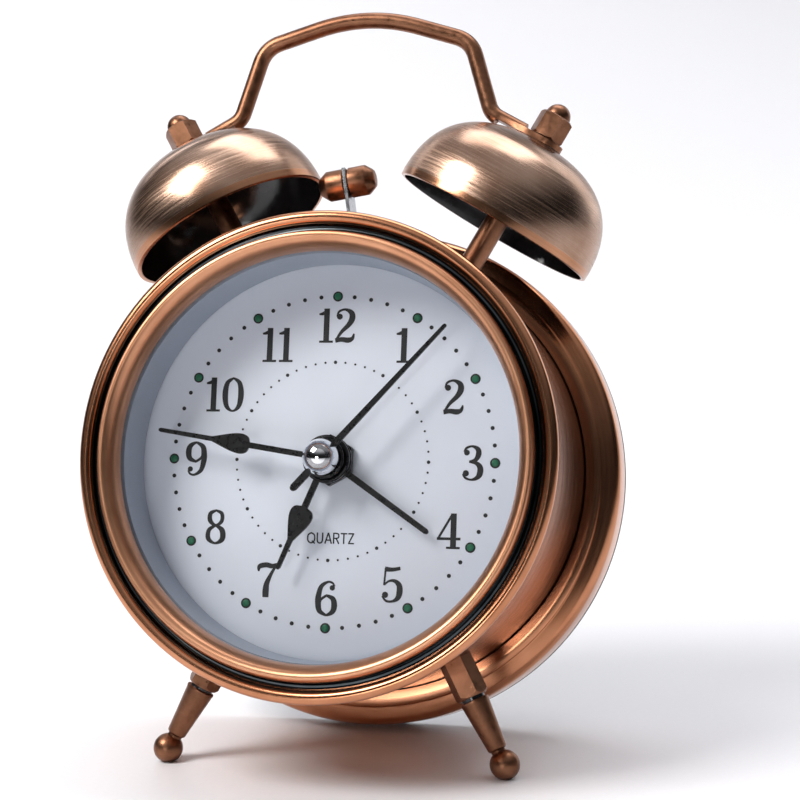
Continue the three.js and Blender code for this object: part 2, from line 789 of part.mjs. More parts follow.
function makeMovement(hands) {
  const hourModule = (2 * gearGap) / (hourPinionTeeth + hourWheelTeeth);
  const toRight = 90 - settingAngle; // clockwise angle from the centre to the time-setting arbor
  const toLeft = -toRight;

  const alarmEnd = alarmWheelY + gearThickness;
  const alarmTube = ring(tubes.alarm[0], tubes.alarm[1], alarmHandY - 0.9, alarmEnd, SMALL);
  const alarmWheel = cut(gear(wheelTeeth, gearModule, toLeft, alarmWheelY), bar(tubes.alarm[0], 0, 20));
  addOnShaft("alarm_pipe", join(alarmTube, alarmWheel), brass, hands.alarm);

  const hourEnd = hourWheelY + gearThickness;
  const hourTube = ring(tubes.hour[0], tubes.hour[1], hourHandY - 0.9, hourEnd, SMALL);
  const hourWheel = cut(gear(hourWheelTeeth, hourModule, toRight, hourWheelY), bar(tubes.hour[0], 0, 20));
  addOnShaft("hour_pipe", join(hourTube, hourWheel), brass, hands.hour);

  const minuteEnd = minuteWheelY + gearThickness + 0.2;
  const minuteTube = ring(tubes.minute[0], tubes.minute[1], minuteHandY - 0.9, minuteEnd, SMALL);
  const cannon = gear(pinionTeeth, gearModule, toRight, minuteWheelY - 0.2, gearThickness + 0.4);
  addOnShaft("cannon_pinion", join(minuteTube, cut(cannon, bar(tubes.minute[0], 0, 20))), brass, hands.minute);

  const secondShaft = bar(tubes.second, secondHandY - 1.8, secondWheelY + 2.6, 12);
  const secondWheel = bar(5.4, secondWheelY, secondWheelY + 0.6, MEDIUM);
  addOnShaft("second_arbor", join(secondShaft, secondWheel), steel, hands.second);

  makeSettingArbors(hourModule, toRight, toLeft);
  makeMovementCase();
}

function makeSettingArbors(hourModule, toRight, toLeft) {
  const knobFront = coverBack + 0.8;
  const end = knobFront + knobLength - 1.2;

  const right = new THREE.Group();
  right.position.set(settingX, 0, settingZ);
  clock.add(right);
  const backToCentre = toRight + 180;
  const wheelPhase = backToCentre + 180 / wheelTeeth;
  const pinionPhase = backToCentre + 180 / hourPinionTeeth;
  const timeShaft = join(
    bar(shaftRadius, hourWheelY - 0.6, end),
    gear(wheelTeeth, gearModule, wheelPhase, minuteWheelY),
    gear(hourPinionTeeth, hourModule, pinionPhase, hourWheelY - 0.2, gearThickness + 0.4),
  );
  add("minute_wheel", timeShaft, brass, right);
  add("time_set_knob", knob(knobFront, end), blackPlastic, right);

  const left = new THREE.Group();
  left.position.set(-settingX, 0, settingZ);
  clock.add(left);
  const alarmPhase = toLeft + 180 + 180 / pinionTeeth;
  const alarmShaft = join(
    bar(shaftRadius, alarmWheelY - 0.3, end),
    gear(pinionTeeth, gearModule, alarmPhase, alarmWheelY - 0.2, gearThickness + 0.4),
  );
  add("alarm_set_arbor", alarmShaft, brass, left);
  add("alarm_set_knob", knob(knobFront, end), blackPlastic, left);
}

function knob(front, shaftEnd) {
  const ribs = 14;
  const outline = Array.from({ length: 2 * ribs }, (_, i) => {
    const angle = (Math.PI * i) / ribs;
    const radius = i % 2 ? knobRadius - 0.5 : knobRadius;
    return [radius * Math.sin(angle), radius * Math.cos(angle)];
  });
  const grip = plate(outline, front + 1.6, front + knobLength);
  const skirt = bar(knobRadius - 1.6, front, front + 2);
  return cut(join(grip, skirt), bar(shaftRadius + 0.1, front - 1, shaftEnd + 0.2));
}

// Two halves of a shell round the gears, with the threaded bush that holds the dial.
function makeMovementCase() {
  const low = movementMidZ - movementHalf + 2;
  const high = movementMidZ + movementHalf - 2;
  const inside = movementHalf - movementWall;
  const shell = (y0, y1, innerY0, innerY1) =>
    cut(
      block(-movementHalf, y0, low, movementHalf, y1, high),
      block(-inside, innerY0, low + movementWall, inside, innerY1, high - movementWall),
    );
  const split = movementSplit;
  const front = shell(movementFront, split - 0.15, movementFront + movementWall, split + 2);
  const bush = bar(tubes.bush[1], -2.1, movementFront + 0.5);
  const bore = bar(tubes.bush[0], -4, movementFront + 3);
  add("movement_case_front", cut(join(front, bush), bore), blackPlastic);
  const back = shell(split + 0.15, movementBack, split - 2, movementBack - movementWall);
  const shaftHoles = [-1, 1].map((side) =>
    bar(shaftRadius + 0.3, split, movementBack + 2).translate(side * settingX, 0, settingZ),
  );
  add("movement_case_back", cut(back, ...shaftHoles), blackPlastic);

  const nut = cut(bar(5.6, -1.8, -GAP, 6), bar(tubes.bush[1] + 0.15, -4, 2));
  add("centre_nut", nut, brass);

  const motorY = movementBack - movementWall - 0.4;
  const bottom = low + movementWall + 0.4;
  const coil = bar(2, -8, 8).rotateZ(Math.PI / 2).translate(0, motorY - 2.4, bottom + 2.2);
  add("step_motor_coil", coil, windingCopper);
  const leftPole = block(-12.5, motorY - 1.2 - 1.6, bottom, -8.3, motorY - 1.6, bottom + 8);
  add("step_motor_stator", leftPole, steel);
  const boardY = movementFront + movementWall + 0.4;
  const boardTop = -0.8 * gearGap - 0.75; // below the largest wheel on the centre arbors
  const board = block(-16, boardY, bottom, 16, boardY + 1, boardTop);
  add("circuit_board", board, boardGreen);
}

// ---- Battery compartment and switch -----------------------------------------------------------------
function makeBatteries() {
  const back = coverFront - GAP;
  const outerX = holderInsideX + holderWall;
  const tub = cut(
    block(-outerX, holderFront, holderBottom, outerX, back, holderTop),
    block(
      -holderInsideX,
      holderFront + holderWall,
      holderBottom + holderWall,
      holderInsideX,
      back + 1,
      holderTop - holderWall,
    ),
  );
  add("battery_holder", tub, blackPlastic);

  [cellTopZ, cellBottomZ].forEach((z, i) => {
    const side = i ? -1 : 1;
    const nub = 1.4;
    const body = bar(cellRadius, -cellLength / 2, cellLength / 2 - nub, MEDIUM);
    const cell = join(body, bar(2.6, 0, cellLength / 2)).rotateZ((side * Math.PI) / 2);
    const mesh = add("battery_cell_" + (i + 1), cell, cellGrey);
    mesh.position.set(0, cellY, z);
  });
  [-1, 1].forEach((side) => {
    const x = side * (holderInsideX - 0.75);
    const contact = block(
      x - 0.3,
      cellY - 5,
      cellBottomZ - 4,
      x + 0.3,
      cellY + 5,
      cellTopZ + 4,
    );
    add("battery_contact_" + (side < 0 ? "left" : "right"), contact, steel);
  });
}

// The lid turns outwards about its rounded upper edge.
function makeBatteryDoor() {
  const hinge = new THREE.Group();
  hinge.position.set(0, (coverFront + coverBack) / 2, doorHingeZ);
  clock.add(hinge);
  const half = coverThickness / 2;
  const height = 2 * doorHalfZ - half;
  const leaf = block(-doorHalfX, -half, -height, doorHalfX, half, 0);
  const knuckle = bar(half, -doorHalfX, doorHalfX, SMALL).rotateZ(Math.PI / 2);
  const grip = block(-6, half - 0.5, -height + 1.5, 6, half + 1, -height + 3);
  add("battery_door", join(leaf, knuckle, grip), blackPlastic, hinge);
}

function makeSwitch() {
  const slider = new THREE.Group();
  slider.position.set(-switchTravel / 2, 0, switchZ);
  clock.add(slider);
  const stem = block(-1.8, coverFront - 1.2, -1, 1.8, coverBack + 2.6, 1);
  const foot = block(-3.2, coverFront - 2.2, -3, 3.2, coverFront - 1, 3);
  add("alarm_switch", join(stem, foot), whitePlastic, slider);
}

// ---- The whole clock --------------------------------------------------------------------------------
makeDrum();
makeBezel();
makeLens();
makeDial();
makeRearRim();
makeBackCover();
makeScrews();
makeBell(-1, "left");
makeBell(1, "right");
makeHandle();
makeFoot(-1, "left");
makeFoot(1, "right");
makeHammer();
makeHammerDrive();
makeMovement(makeHands());
makeBatteries();
makeBatteryDoor();
makeSwitch();

// Tipped back, with the middle of its footprint at the origin and the surface it stands on at z = 0.
clock.rotation.x = -rad(leanBack);
clock.updateMatrixWorld(true);
const extent = new THREE.Box3().setFromObject(clock, true);
clock.position.set(-(extent.min.x + extent.max.x) / 2, -(extent.min.y + extent.max.y) / 2, -extent.min.z);

const alarmClock = new THREE.Group();
alarmClock.add(clock);

export default alarmClock;
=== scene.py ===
import json
import math

import bmesh
import bpy
from mathutils import Matrix, Vector


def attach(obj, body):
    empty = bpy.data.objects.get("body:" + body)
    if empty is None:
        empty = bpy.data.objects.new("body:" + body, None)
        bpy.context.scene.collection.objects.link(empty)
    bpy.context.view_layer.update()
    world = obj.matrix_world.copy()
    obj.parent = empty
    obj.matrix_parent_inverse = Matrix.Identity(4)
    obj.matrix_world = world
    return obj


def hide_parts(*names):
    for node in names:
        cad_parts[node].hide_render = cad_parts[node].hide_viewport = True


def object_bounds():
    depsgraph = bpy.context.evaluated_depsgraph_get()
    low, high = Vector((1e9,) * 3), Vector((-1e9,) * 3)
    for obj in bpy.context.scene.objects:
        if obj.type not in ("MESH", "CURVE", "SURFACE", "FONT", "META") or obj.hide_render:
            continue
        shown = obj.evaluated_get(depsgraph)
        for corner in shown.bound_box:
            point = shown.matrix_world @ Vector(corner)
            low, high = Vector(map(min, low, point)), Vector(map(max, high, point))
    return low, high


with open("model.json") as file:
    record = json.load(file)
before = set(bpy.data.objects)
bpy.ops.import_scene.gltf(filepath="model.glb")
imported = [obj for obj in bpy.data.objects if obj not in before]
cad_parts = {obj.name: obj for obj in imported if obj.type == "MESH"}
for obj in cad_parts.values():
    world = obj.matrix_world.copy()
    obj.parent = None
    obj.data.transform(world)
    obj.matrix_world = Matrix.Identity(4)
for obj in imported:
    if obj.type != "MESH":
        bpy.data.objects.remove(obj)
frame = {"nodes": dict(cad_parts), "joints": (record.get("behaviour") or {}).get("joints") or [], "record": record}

CAD_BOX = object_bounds()

# ---- The clock's own frame: X right, Y from the dial into the case, Z towards twelve, in millimetres ----
JOINTS = {joint["name"]: joint for joint in frame["joints"]}
MM = 0.001


def clock_frame():
    joint = JOINTS["minute_turn"]
    depth = Vector(joint["axis"]).normalized()
    right = Vector((1, 0, 0))
    up = right.cross(depth)
    turn = Matrix((right, depth, up)).transposed().to_4x4()
    return Matrix.Translation(Vector(joint["pos_m"])) @ turn


def shift(x=0.0, y=0.0, z=0.0):
    return Matrix.Translation(Vector((x, y, z)) * MM)


def turned(degrees, axis="Y"):
    return Matrix.Rotation(math.radians(degrees), 4, axis)


CLOCK = clock_frame()
DEPTH = CLOCK @ turned(-90, "X")  # local Z runs into the case

# ---- Sizes, in millimetres -------------------------------------------------------------------------
OPENING = 43.7
BEAD = OPENING + 3.7
GROOVE = BEAD + 1.3
ROLL_INNER = GROOVE + 0.3
ROLL_OUTER = ROLL_INNER + 3.0
DRUM = ROLL_INNER + 0.8
RIM = DRUM + 7.9
BEZEL_BACK = -12.4
CREST = BEZEL_BACK - 5.6
DRUM_END = 38.0
RIM_FRONT = DRUM_END - 2
RIM_END = 46.6
COVER_FRONT = RIM_END + 0.3
COVER_BACK = COVER_FRONT + 1.5
LENS_RIM = OPENING + 2.1
LENS_BACK = BEZEL_BACK + 1.5

BELL_ANGLE = 29.4
BELL_DEPTH = 16.4
BELL_RIM = 62.3
BELL_RADIUS = 23.8
BELL_HEIGHT = 21.4
BELL_TOP = BELL_RIM + BELL_HEIGHT
STRAP = BELL_TOP + 0.2
STRAP_THICK = 1.3
NUT = STRAP + STRAP_THICK + 0.2
NUT_HEIGHT = 5.6

LEG_TILT = 28.0
LEG_DEPTH = 10.5
FOOT_X = 38.0
FOOT_Z = -63.5
FOOT_RADIUS = 3.27
LEG_REACH = DRUM + 24.3

HAMMER_PIVOT = 45.5
HAMMER_ARM = 19.8
HAMMER_REST = 9.6
HEAD_RADIUS = 3.45
HEAD_LENGTH = 13.2

HANDS = {"alarm": 124.2, "hour": 202.6, "minute": 278.7, "second": 42.4}
HAND_Y = {"alarm": -2.6, "hour": -4.4, "minute": -6.2, "second": -8.0}


# ---- Materials -------------------------------------------------------------------------------------
class Paint:
    """A node material with one Principled shader."""

    def __init__(self, name, color, roughness, metallic=0.0):
        self.material = bpy.data.materials.new(name)
        self.material.use_nodes = True
        self.nodes = self.material.node_tree.nodes
        self.links = self.material.node_tree.links
        self.shader = self.nodes["Principled BSDF"]
        self.set("Base Color", (*color, 1))
        self.set("Roughness", roughness)
        self.set("Metallic", metallic)

    def set(self, socket, value):
        self.shader.inputs[socket].default_value = value

    def node(self, kind, inputs=None, **settings):
        made = self.nodes.new(kind)
        for key, value in settings.items():
            setattr(made, key, value)
        for key, value in (inputs or {}).items():
            if isinstance(value, bpy.types.NodeSocket):
                self.links.new(value, made.inputs[key])
            else:
                made.inputs[key].default_value = value
        return made

    def math(self, operation, a, b=0.0):
        return self.node("ShaderNodeMath", {0: a, 1: b}, operation=operation).outputs[0]

    def feed(self, socket, output):
        self.links.new(output, self.shader.inputs[socket])

    def point(self):
        return self.node("ShaderNodeTexCoord").outputs["Object"]

    def noise(self, vector, scale, detail=3.0, roughness=0.5, distortion=0.0):
        inputs = {"Vector": vector, "Scale": scale, "Detail": detail, "Roughness": roughness}
        inputs["Distortion"] = distortion
        return self.node("ShaderNodeTexNoise", inputs).outputs["Fac"]

    def ramp(self, value, stops):
        made = self.node("ShaderNodeValToRGB", {"Fac": value})
        elements = made.color_ramp.elements
        while len(elements) < len(stops):
            elements.new(0.5)
        for element, (at, color) in zip(elements, stops):
            element.position = at
            element.color = (*color, 1)
        return made.outputs["Color"]

    def between(self, value, low, high, start=0.3, end=0.7):
        inputs = {"Value": value, "From Min": start, "From Max": end, "To Min": low, "To Max": high}
        return self.node("ShaderNodeMapRange", inputs).outputs["Result"]

    def bump(self, height, strength, distance):
        made = self.node("ShaderNodeBump", {"Height": height, "Strength": strength, "Distance": distance})
        self.feed("Normal", made.outputs["Normal"])

    def rings(self, drift=0.0006):
        """A place that changes across a turned piece and hardly around it, for lathe and brush marks."""
        xyz = self.node("ShaderNodeSeparateXYZ", {"Vector": self.point()}).outputs
        flat = self.node("ShaderNodeCombineXYZ", {"X": xyz["X"], "Y": xyz["Y"]}).outputs[0]
        radius = self.node("ShaderNodeVectorMath", {0: flat}, operation="LENGTH").outputs["Value"]
        around = self.math("MULTIPLY", self.math("ARCTAN2", xyz["Y"], xyz["X"]), drift)
        return self.node("ShaderNodeCombineXYZ", {"X": radius, "Y": xyz["Z"], "Z": around}).outputs[0]


def turned_metal(name, light, dark, roughness, grain=2600, scratch=0.12, bump=0.05, anisotropic=0.5,
    patch=90):
    """Plated metal with marks that run around it, and slow changes of tone."""
    paint = Paint(name, light, roughness, 1.0)
    rings = paint.rings()
    fine = paint.noise(rings, grain, 4, 0.65)
    slow = paint.noise(paint.point(), patch, 3, 0.55)
    mixed = paint.math("ADD", paint.math("MULTIPLY", fine, 0.45), paint.math("MULTIPLY", slow, 0.55))
    paint.feed("Base Color", paint.ramp(mixed, [(0.34, dark), (0.62, light)]))
    paint.feed("Roughness", paint.between(fine, roughness - scratch, roughness + scratch))
    paint.bump(fine, bump, 0.0001)
    paint.set("Anisotropic", anisotropic)
    tangent = paint.node("ShaderNodeTangent", direction_type="RADIAL", axis="Z").outputs["Tangent"]
    paint.feed("Tangent", tangent)
    return paint.material


def cast_metal(name, light, dark, roughness, grain=700, bump=0.15):
    """Aged plating with a fine uneven grain, and worn edges."""
    paint = Paint(name, light, roughness, 1.0)
    point = paint.point()
    fine = paint.noise(point, grain, 5, 0.6)
    slow = paint.noise(point, 160, 3, 0.5)
    mixed = paint.math("ADD", paint.math("MULTIPLY", fine, 0.4), paint.math("MULTIPLY", slow, 0.6))
    edge = paint.node("ShaderNodeNewGeometry").outputs["Pointiness"]
    worn = paint.math("MULTIPLY", paint.math("SUBTRACT", edge, 0.5), 1.6)
    paint.feed("Base Color", paint.ramp(paint.math("ADD", mixed, worn), [(0.32, dark), (0.66, light)]))
    paint.feed("Roughness", paint.between(fine, roughness - 0.08, roughness + 0.12))
    paint.bump(fine, bump, 0.0001)
    return paint.material


def moulded(name, color, roughness, grain=1500, bump=0.12, spread=0.15):
    """Moulded plastic or enamel with a fine texture and a slight change of tone."""
    paint = Paint(name, color, roughness)
    point = paint.point()
    fine = paint.noise(point, grain, 3, 0.6)
    slow = paint.noise(point, 60, 2, 0.5)
    low = tuple(c * (1 - spread) for c in color)
    high = tuple(min(1, c * (1 + spread)) for c in color)
    paint.feed("Base Color", paint.ramp(slow, [(0.3, low), (0.7, high)]))
    paint.feed("Roughness", paint.between(fine, roughness - 0.06, roughness + 0.06))
    paint.bump(fine, bump, 0.00006)
    return paint.material


def lens_glass():
    """Clear glass, which shows more of its gloss towards its edge."""
    paint = Paint("lens_glass", (0.02, 0.022, 0.025), 0.02)
    facing = paint.node("ShaderNodeLayerWeight", {"Blend": 0.25}).outputs["Fresnel"]
    smear = paint.noise(paint.point(), 45, 2, 0.5)
    paint.feed("Alpha", paint.between(facing, 0.0, 0.6, 0.03, 1.0))
    paint.feed("Roughness", paint.between(smear, 0.01, 0.05))
    return paint.material


def wound_wire():
    paint = Paint("wound_wire", (0.5, 0.2, 0.09), 0.35, 1.0)
    bands = paint.node("ShaderNodeTexWave", {"Vector": paint.point(), "Scale": 900.0, "Distortion": 0.4})
    paint.feed("Base Color", paint.ramp(bands.outputs["Fac"],
        [(0.1, (0.16, 0.05, 0.02)), (0.7, (0.6, 0.26, 0.12))]))
    paint.bump(bands.outputs["Fac"], 0.4, 0.0001)
    return paint.material


case_copper = turned_metal("case_copper", (0.60, 0.275, 0.15), (0.46, 0.19, 0.095), 0.2, 900, 0.03, 0.0, 0.4)
bead_copper = turned_metal("bead_copper", (0.66, 0.33, 0.19), (0.50, 0.23, 0.125), 0.33, 900, 0.05, 0.0, 0.4)
bell_copper = turned_metal("bell_copper", (0.50, 0.335, 0.25), (0.30, 0.165, 0.105), 0.24, 2400, 0.1,
    0.05, 0.7)
bell_lip = turned_metal("bell_lip", (0.52, 0.26, 0.15), (0.36, 0.17, 0.09), 0.2, 2200, 0.06, 0.03, 0.4)
aged_copper = cast_metal("aged_copper", (0.27, 0.125, 0.07), (0.12, 0.05, 0.027), 0.34)
# Near black that stands in for shade: painted shade inside the bells and in the narrow neck of each leg.
painted_shade_black = moulded("painted_shade_black", (0.012, 0.012, 0.014), 0.14, 400, 0.05, 0.3)
# Dark grey metal for the groove outside the bezel bead: partly dark patina, partly painted shade and painted dark
# reflection in the groove.
groove_patina_and_shade = turned_metal("groove_patina_and_shade", (0.10, 0.115, 0.12), (0.03, 0.035, 0.04), 0.16, 1800, 0.05,
    0.03, 0.3)
steel = cast_metal("spring_steel", (0.50, 0.51, 0.53), (0.42, 0.43, 0.45), 0.24, 300, 0.0)
brass = turned_metal("turned_brass", (0.8, 0.6, 0.26), (0.5, 0.36, 0.14), 0.26, 3000, 0.06, 0.05, 0.3)
chrome = turned_metal("cap_chrome", (0.9, 0.91, 0.93), (0.82, 0.83, 0.86), 0.05, 1500, 0.02, 0.005, 0.0)
black_enamel = moulded("black_enamel", (0.008, 0.008, 0.009), 0.3, 900, 0.05, 0.3)
black_plastic = moulded("black_plastic", (0.028, 0.028, 0.031), 0.46, 1800, 0.22, 0.12)
white_plastic = moulded("white_plastic", (0.72, 0.73, 0.75), 0.42, 1200, 0.08, 0.05)
dial_enamel = moulded("dial_enamel", (0.80, 0.85, 0.94), 0.5, 2600, 0.04, 0.015)
reflector_paint = moulded("reflector_paint", (0.48, 0.53, 0.62), 0.42, 1500, 0.05, 0.04)
print_ink = moulded("print_ink", (0.01, 0.01, 0.012), 0.45, 2200, 0.05, 0.2)
lume_green = moulded("lume_green", (0.012, 0.15, 0.07), 0.45, 1500, 0.2, 0.25)
board_green = moulded("board_green", (0.03, 0.16, 0.06), 0.4, 900, 0.1, 0.2)
cell_jacket = moulded("cell_jacket", (0.2, 0.21, 0.23), 0.3, 900, 0.04, 0.1)
lens = lens_glass()
wire = wound_wire()

SLOT_PAINT = {
    "case_copper": case_copper,
    "bell_copper": bell_copper,
    "aged_copper": aged_copper,
    "glass": lens,
    "reflector": reflector_paint,
    "dial": dial_enamel,
    "hand_black": black_enamel,
    "chrome": chrome,
    "brass": brass,
    "steel": steel,
    "winding": wire,
    "board": board_green,
    "cell": cell_jacket,
    "black_plastic": black_plastic,
}


# ---- Mesh tools ------------------------------------------------------------------------------------
def finish_mesh(bm, name, sharp=34.0):
    bmesh.ops.remove_doubles(bm, verts=bm.verts[:], dist=1e-7)
    bmesh.ops.recalc_face_normals(bm, faces=bm.faces[:])
    limit = math.radians(sharp)
    for face in bm.faces:
        face.smooth = True
    for edge in bm.edges:
        edge.smooth = len(edge.link_faces) == 2 and edge.calc_face_angle(0) < limit
    mesh = bpy.data.meshes.new(name)
    bm.to_mesh(mesh)
    bm.free()
    return mesh


def lathe(points, segments=128):
    """A turned body about local Z from [radius, z] points, open only where both ends lie on the axis."""
    bm = bmesh.new()
    rings = []
    for radius, z in points:
        if radius < 1e-6:
            rings.append([bm.verts.new((0, 0, z * MM))] * segments)
            continue
        ring = []
        for i in range(segments):
            angle = 2 * math.pi * i / segments
            ring.append(bm.verts.new((radius * math.cos(angle) * MM, radius * math.sin(angle) * MM, z * MM)))
        rings.append(ring)
    on_axis = points[0][0] < 1e-6 and points[-1][0] < 1e-6
    follow = rings[1:] if on_axis else rings[1:] + rings[:1]
    for a, b in zip(rings, follow):
        for i in range(segments):
            j = (i + 1) % segments
            corners = []
            for vert in (a[i], a[j], b[j], b[i]):
                if vert not in corners:
                    corners.append(vert)
            if len(corners) > 2:
                bm.faces.new(corners)
    return bm


def arc(cx, cz, radius, start, end, steps):
    points = []
    for i in range(steps + 1):
        angle = math.radians(start + (end - start) * i / steps)
        points.append((cx + radius * math.cos(angle), cz + radius * math.sin(angle)))
    return points


def prism(outline, low, high):
    """A flat outline of [x, z] points between two depths, in the clock's frame."""
    bm = bmesh.new()
    count = len(outline)
    near = [bm.verts.new((x * MM, low * MM, z * MM)) for x, z in outline]
    far = [bm.verts.new((x * MM, high * MM, z * MM)) for x, z in outline]
    bm.faces.new(near)
    bm.faces.new(far[::-1])
    for i in range(count):
        j = (i + 1) % count
        bm.faces.new((near[i], near[j], far[j], far[i]))
    return bm


def box(x0, y0, z0, x1, y1, z1):
    return prism([(x0, z0), (x1, z0), (x1, z1), (x0, z1)], y0, y1)


def hexagon(across, low, high):
    """A hexagon bar along local Z."""
    radius = across / math.sqrt(3)
    return lathe([(0, low), (radius, low), (radius, high), (0, high)], 6)


def add_to(bm, other, place=None):
    """Adds the faces of one bmesh to another."""
    mesh = bpy.data.meshes.new("tmp")
    if place is not None:
        other.transform(place)
    other.to_mesh(mesh)
    other.free()
    bm.from_mesh(mesh)
    bpy.data.meshes.remove(mesh)
    return bm


def as_object(bm, name="tool"):
    if isinstance(bm, bpy.types.Object):
        return bm
    mesh = finish_mesh(bm, name)
    made = bpy.data.objects.new(name, mesh)
    bpy.context.scene.collection.objects.link(made)
    return made


def bake(thing):
    """Applies an object's modifiers to its mesh."""
    bpy.context.view_layer.update()
    mesh = bpy.data.meshes.new_from_object(thing.evaluated_get(bpy.context.evaluated_depsgraph_get()))
    thing.modifiers.clear()
    old = thing.data
    thing.data = mesh
    bpy.data.meshes.remove(old)
    return thing


def combine(target, tools, operation="DIFFERENCE"):
    """Cuts or joins each tool into the target, and returns the target."""
    target = as_object(target)
    for bm in tools:
        tool = as_object(bm)
        change = target.modifiers.new("change", "BOOLEAN")
        change.operation = operation
        change.solver = "EXACT"
        change.object = tool
        bake(target)
        bpy.data.objects.remove(tool)
    return target


def bevel(thing, width, segments=2, angle=30.0):
    thing = as_object(thing)
    change = thing.modifiers.new("edges", "BEVEL")
    change.width = width * MM
    change.segments = segments
    change.limit_method = "ANGLE"
    change.angle_limit = math.radians(angle)
    change.use_clamp_overlap = True
    change.harden_normals = True
    return bake(thing)


def sharpen(thing, sharp=34.0):
    bm = bmesh.new()
    bm.from_mesh(thing.data)
    limit = math.radians(sharp)
    for face in bm.faces:
        face.smooth = True
    for edge in bm.edges:
        edge.smooth = len(edge.link_faces) == 2 and edge.calc_face_angle(0) < limit
    bm.to_mesh(thing.data)
    bm.free()
    return thing


def piece(name, shape, place, body, slot, paint, *stands_for):
    """Names a shape, puts it in its place, and ties it to the frame."""
    made = as_object(shape, name)
    made.name = name
    made.data.name = name
    made.data.materials.clear()
    made.data.materials.append(paint)
    made.matrix_world = place
    bpy.context.view_layer.update()
    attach(made, body)
    if stands_for:
        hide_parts(*stands_for)
    return made


def paint_where(thing, paint, test):
    """A second material on the faces whose middle passes the test, in millimetres."""
    thing.data.materials.append(paint)
    last = len(thing.data.materials) - 1
    for polygon in thing.data.polygons:
        if test(*(c / MM for c in polygon.center)):
            polygon.material_index = last


# ---- Case ------------------------------------------------------------------------------------------
def make_case():
    middle = (ROLL_INNER + ROLL_OUTER) / 2
    radius = (ROLL_OUTER - ROLL_INNER) / 2
    roll = BEZEL_BACK - 3.8 + radius
    outline = [(ROLL_INNER, DRUM_END), (ROLL_INNER, LENS_BACK + 0.3), (LENS_RIM + 0.3, LENS_BACK + 0.3)]
    outline += [(LENS_RIM + 0.3, BEZEL_BACK + 0.3), (ROLL_INNER, BEZEL_BACK + 0.3)]
    outline += arc(middle, roll, radius, 180, 372, 22)
    outline += [(DRUM + 1.3, roll + 1.4), (DRUM + 0.9, roll + 3), (DRUM + 0.42, roll + 4.6),
        (DRUM + 0.1, roll + 6.5)]
    outline += [(DRUM, roll + 9)] + [(DRUM, roll + 9 + i * 8) for i in range(1, 5)] + [(DRUM, DRUM_END)]
    tube = as_object(lathe(outline, 192))
    swing = (DRUM - HAMMER_PIVOT) * math.tan(math.radians(HAMMER_REST + 3)) + 2.2
    slot = box(-swing, BELL_DEPTH - 3.8, ROLL_INNER - 4, swing, BELL_DEPTH + 3.8, DRUM + 2)
    slot.transform(turned(90, "X"))  # from the clock's frame to the lathe's
    combine(tube, [slot])
    sharpen(tube)
    piece("drum_shell", tube, DEPTH, "case", "case_copper", case_copper, "case_drum")

    inner = OPENING
    back = BEZEL_BACK
    bead = [(inner, back), (inner, back - 0.6), (inner + 0.03, back - 1.4), (inner + 0.15, back - 2.4)]
    bead += [(inner + 0.4, back - 3.3), (inner + 0.8, back - 4.1), (inner + 1.3, back - 4.8)]
    bead += [(inner + 1.8, CREST + 0.3), (inner + 2.25, CREST + 0.06), (inner + 2.7, CREST),
        (inner + 3.1, CREST + 0.14)]
    bead += [(BEAD - 0.35, CREST + 0.5), (BEAD - 0.1, CREST + 1.0), (BEAD, CREST + 1.6),
        (BEAD + 0.14, CREST + 2.4)]
    bead += [(BEAD + 0.3, back - 2.4), (BEAD + 0.55, back - 2.1), (GROOVE - 0.4, back - 2),
        (GROOVE - 0.1, back - 2.1)]
    bead += [(GROOVE, back - 2.3), (GROOVE, back)]
    ring = as_object(lathe(bead, 192))
    bezel = piece("bezel_bead", ring, DEPTH, "case", "case_copper", bead_copper, "front_bezel")
    # The outer flank of the bead and the groove floor get the dark metal: partly patina, partly painted shade.
    paint_where(bezel, groove_patina_and_shade, lambda x, y, z: math.hypot(x, y) > BEAD + 0.02)

    bore = DRUM + 0.3
    rim = [(bore, RIM_FRONT), (bore + 1.6, RIM_FRONT), (bore + 3.2, RIM_FRONT + 0.15),
        (bore + 3.42, RIM_FRONT + 0.3)]
    rim += [(bore + 3.5, RIM_FRONT + 0.6), (bore + 3.8, RIM_FRONT + 0.72), (RIM - 1.6, RIM_FRONT + 0.9)]
    rim += [(RIM - 0.95, RIM_FRONT + 1.25), (RIM - 0.5, RIM_FRONT + 1.8), (RIM - 0.12, RIM_FRONT + 2.5),
        (RIM, RIM_FRONT + 3.2)]
    rim += [(RIM, RIM_END - 3), (RIM, RIM_END - 0.3), (RIM - 0.3, RIM_END), (RIM - 1.2, RIM_END)]
    rim += [(RIM - 1.2, RIM_FRONT + 3.6), (RIM - 2.4, RIM_FRONT + 2.2), (bore, RIM_FRONT + 1.6)]
    piece("rim_shell", lathe(rim, 192), DEPTH, "case", "case_copper", case_copper, "rear_rim")


def make_front():
    rise = 3.2
    rim = OPENING - 1
    front = LENS_BACK - 1.2
    steps = 20

    def dome(z):
        return [(rim * i / steps, z - rise * (1 - (i / steps) ** 2)) for i in range(steps + 1)]

    outline = dome(front) + [(LENS_RIM, front), (LENS_RIM, LENS_BACK)] + dome(LENS_BACK)[::-1]
    piece("lens_dome", lathe(outline, 128), DEPTH, "case", "glass", lens, "front_lens")

    inner = OPENING - 0.1
    top = LENS_BACK + 0.3
    cone = [(inner, top), (inner + 1, top), (inner + 1, -0.3), (inner - 0.6, -0.3), (inner - 0.5, -0.9),
        (inner - 0.1, -3)]
    piece("reflector_wall", lathe(cone, 128), DEPTH, "case", "reflector", reflector_paint, "reflector_ring")
    disc = [(4.3, 0), (ROLL_INNER - 1.2, 0), (ROLL_INNER - 1.2, 0.8), (4.3, 0.8)]
    piece("dial_face", lathe(disc, 128), DEPTH, "case", "dial", dial_enamel, "dial_plate")


# ---- Dial printing ---------------------------------------------------------------------------------
INK = 0.06


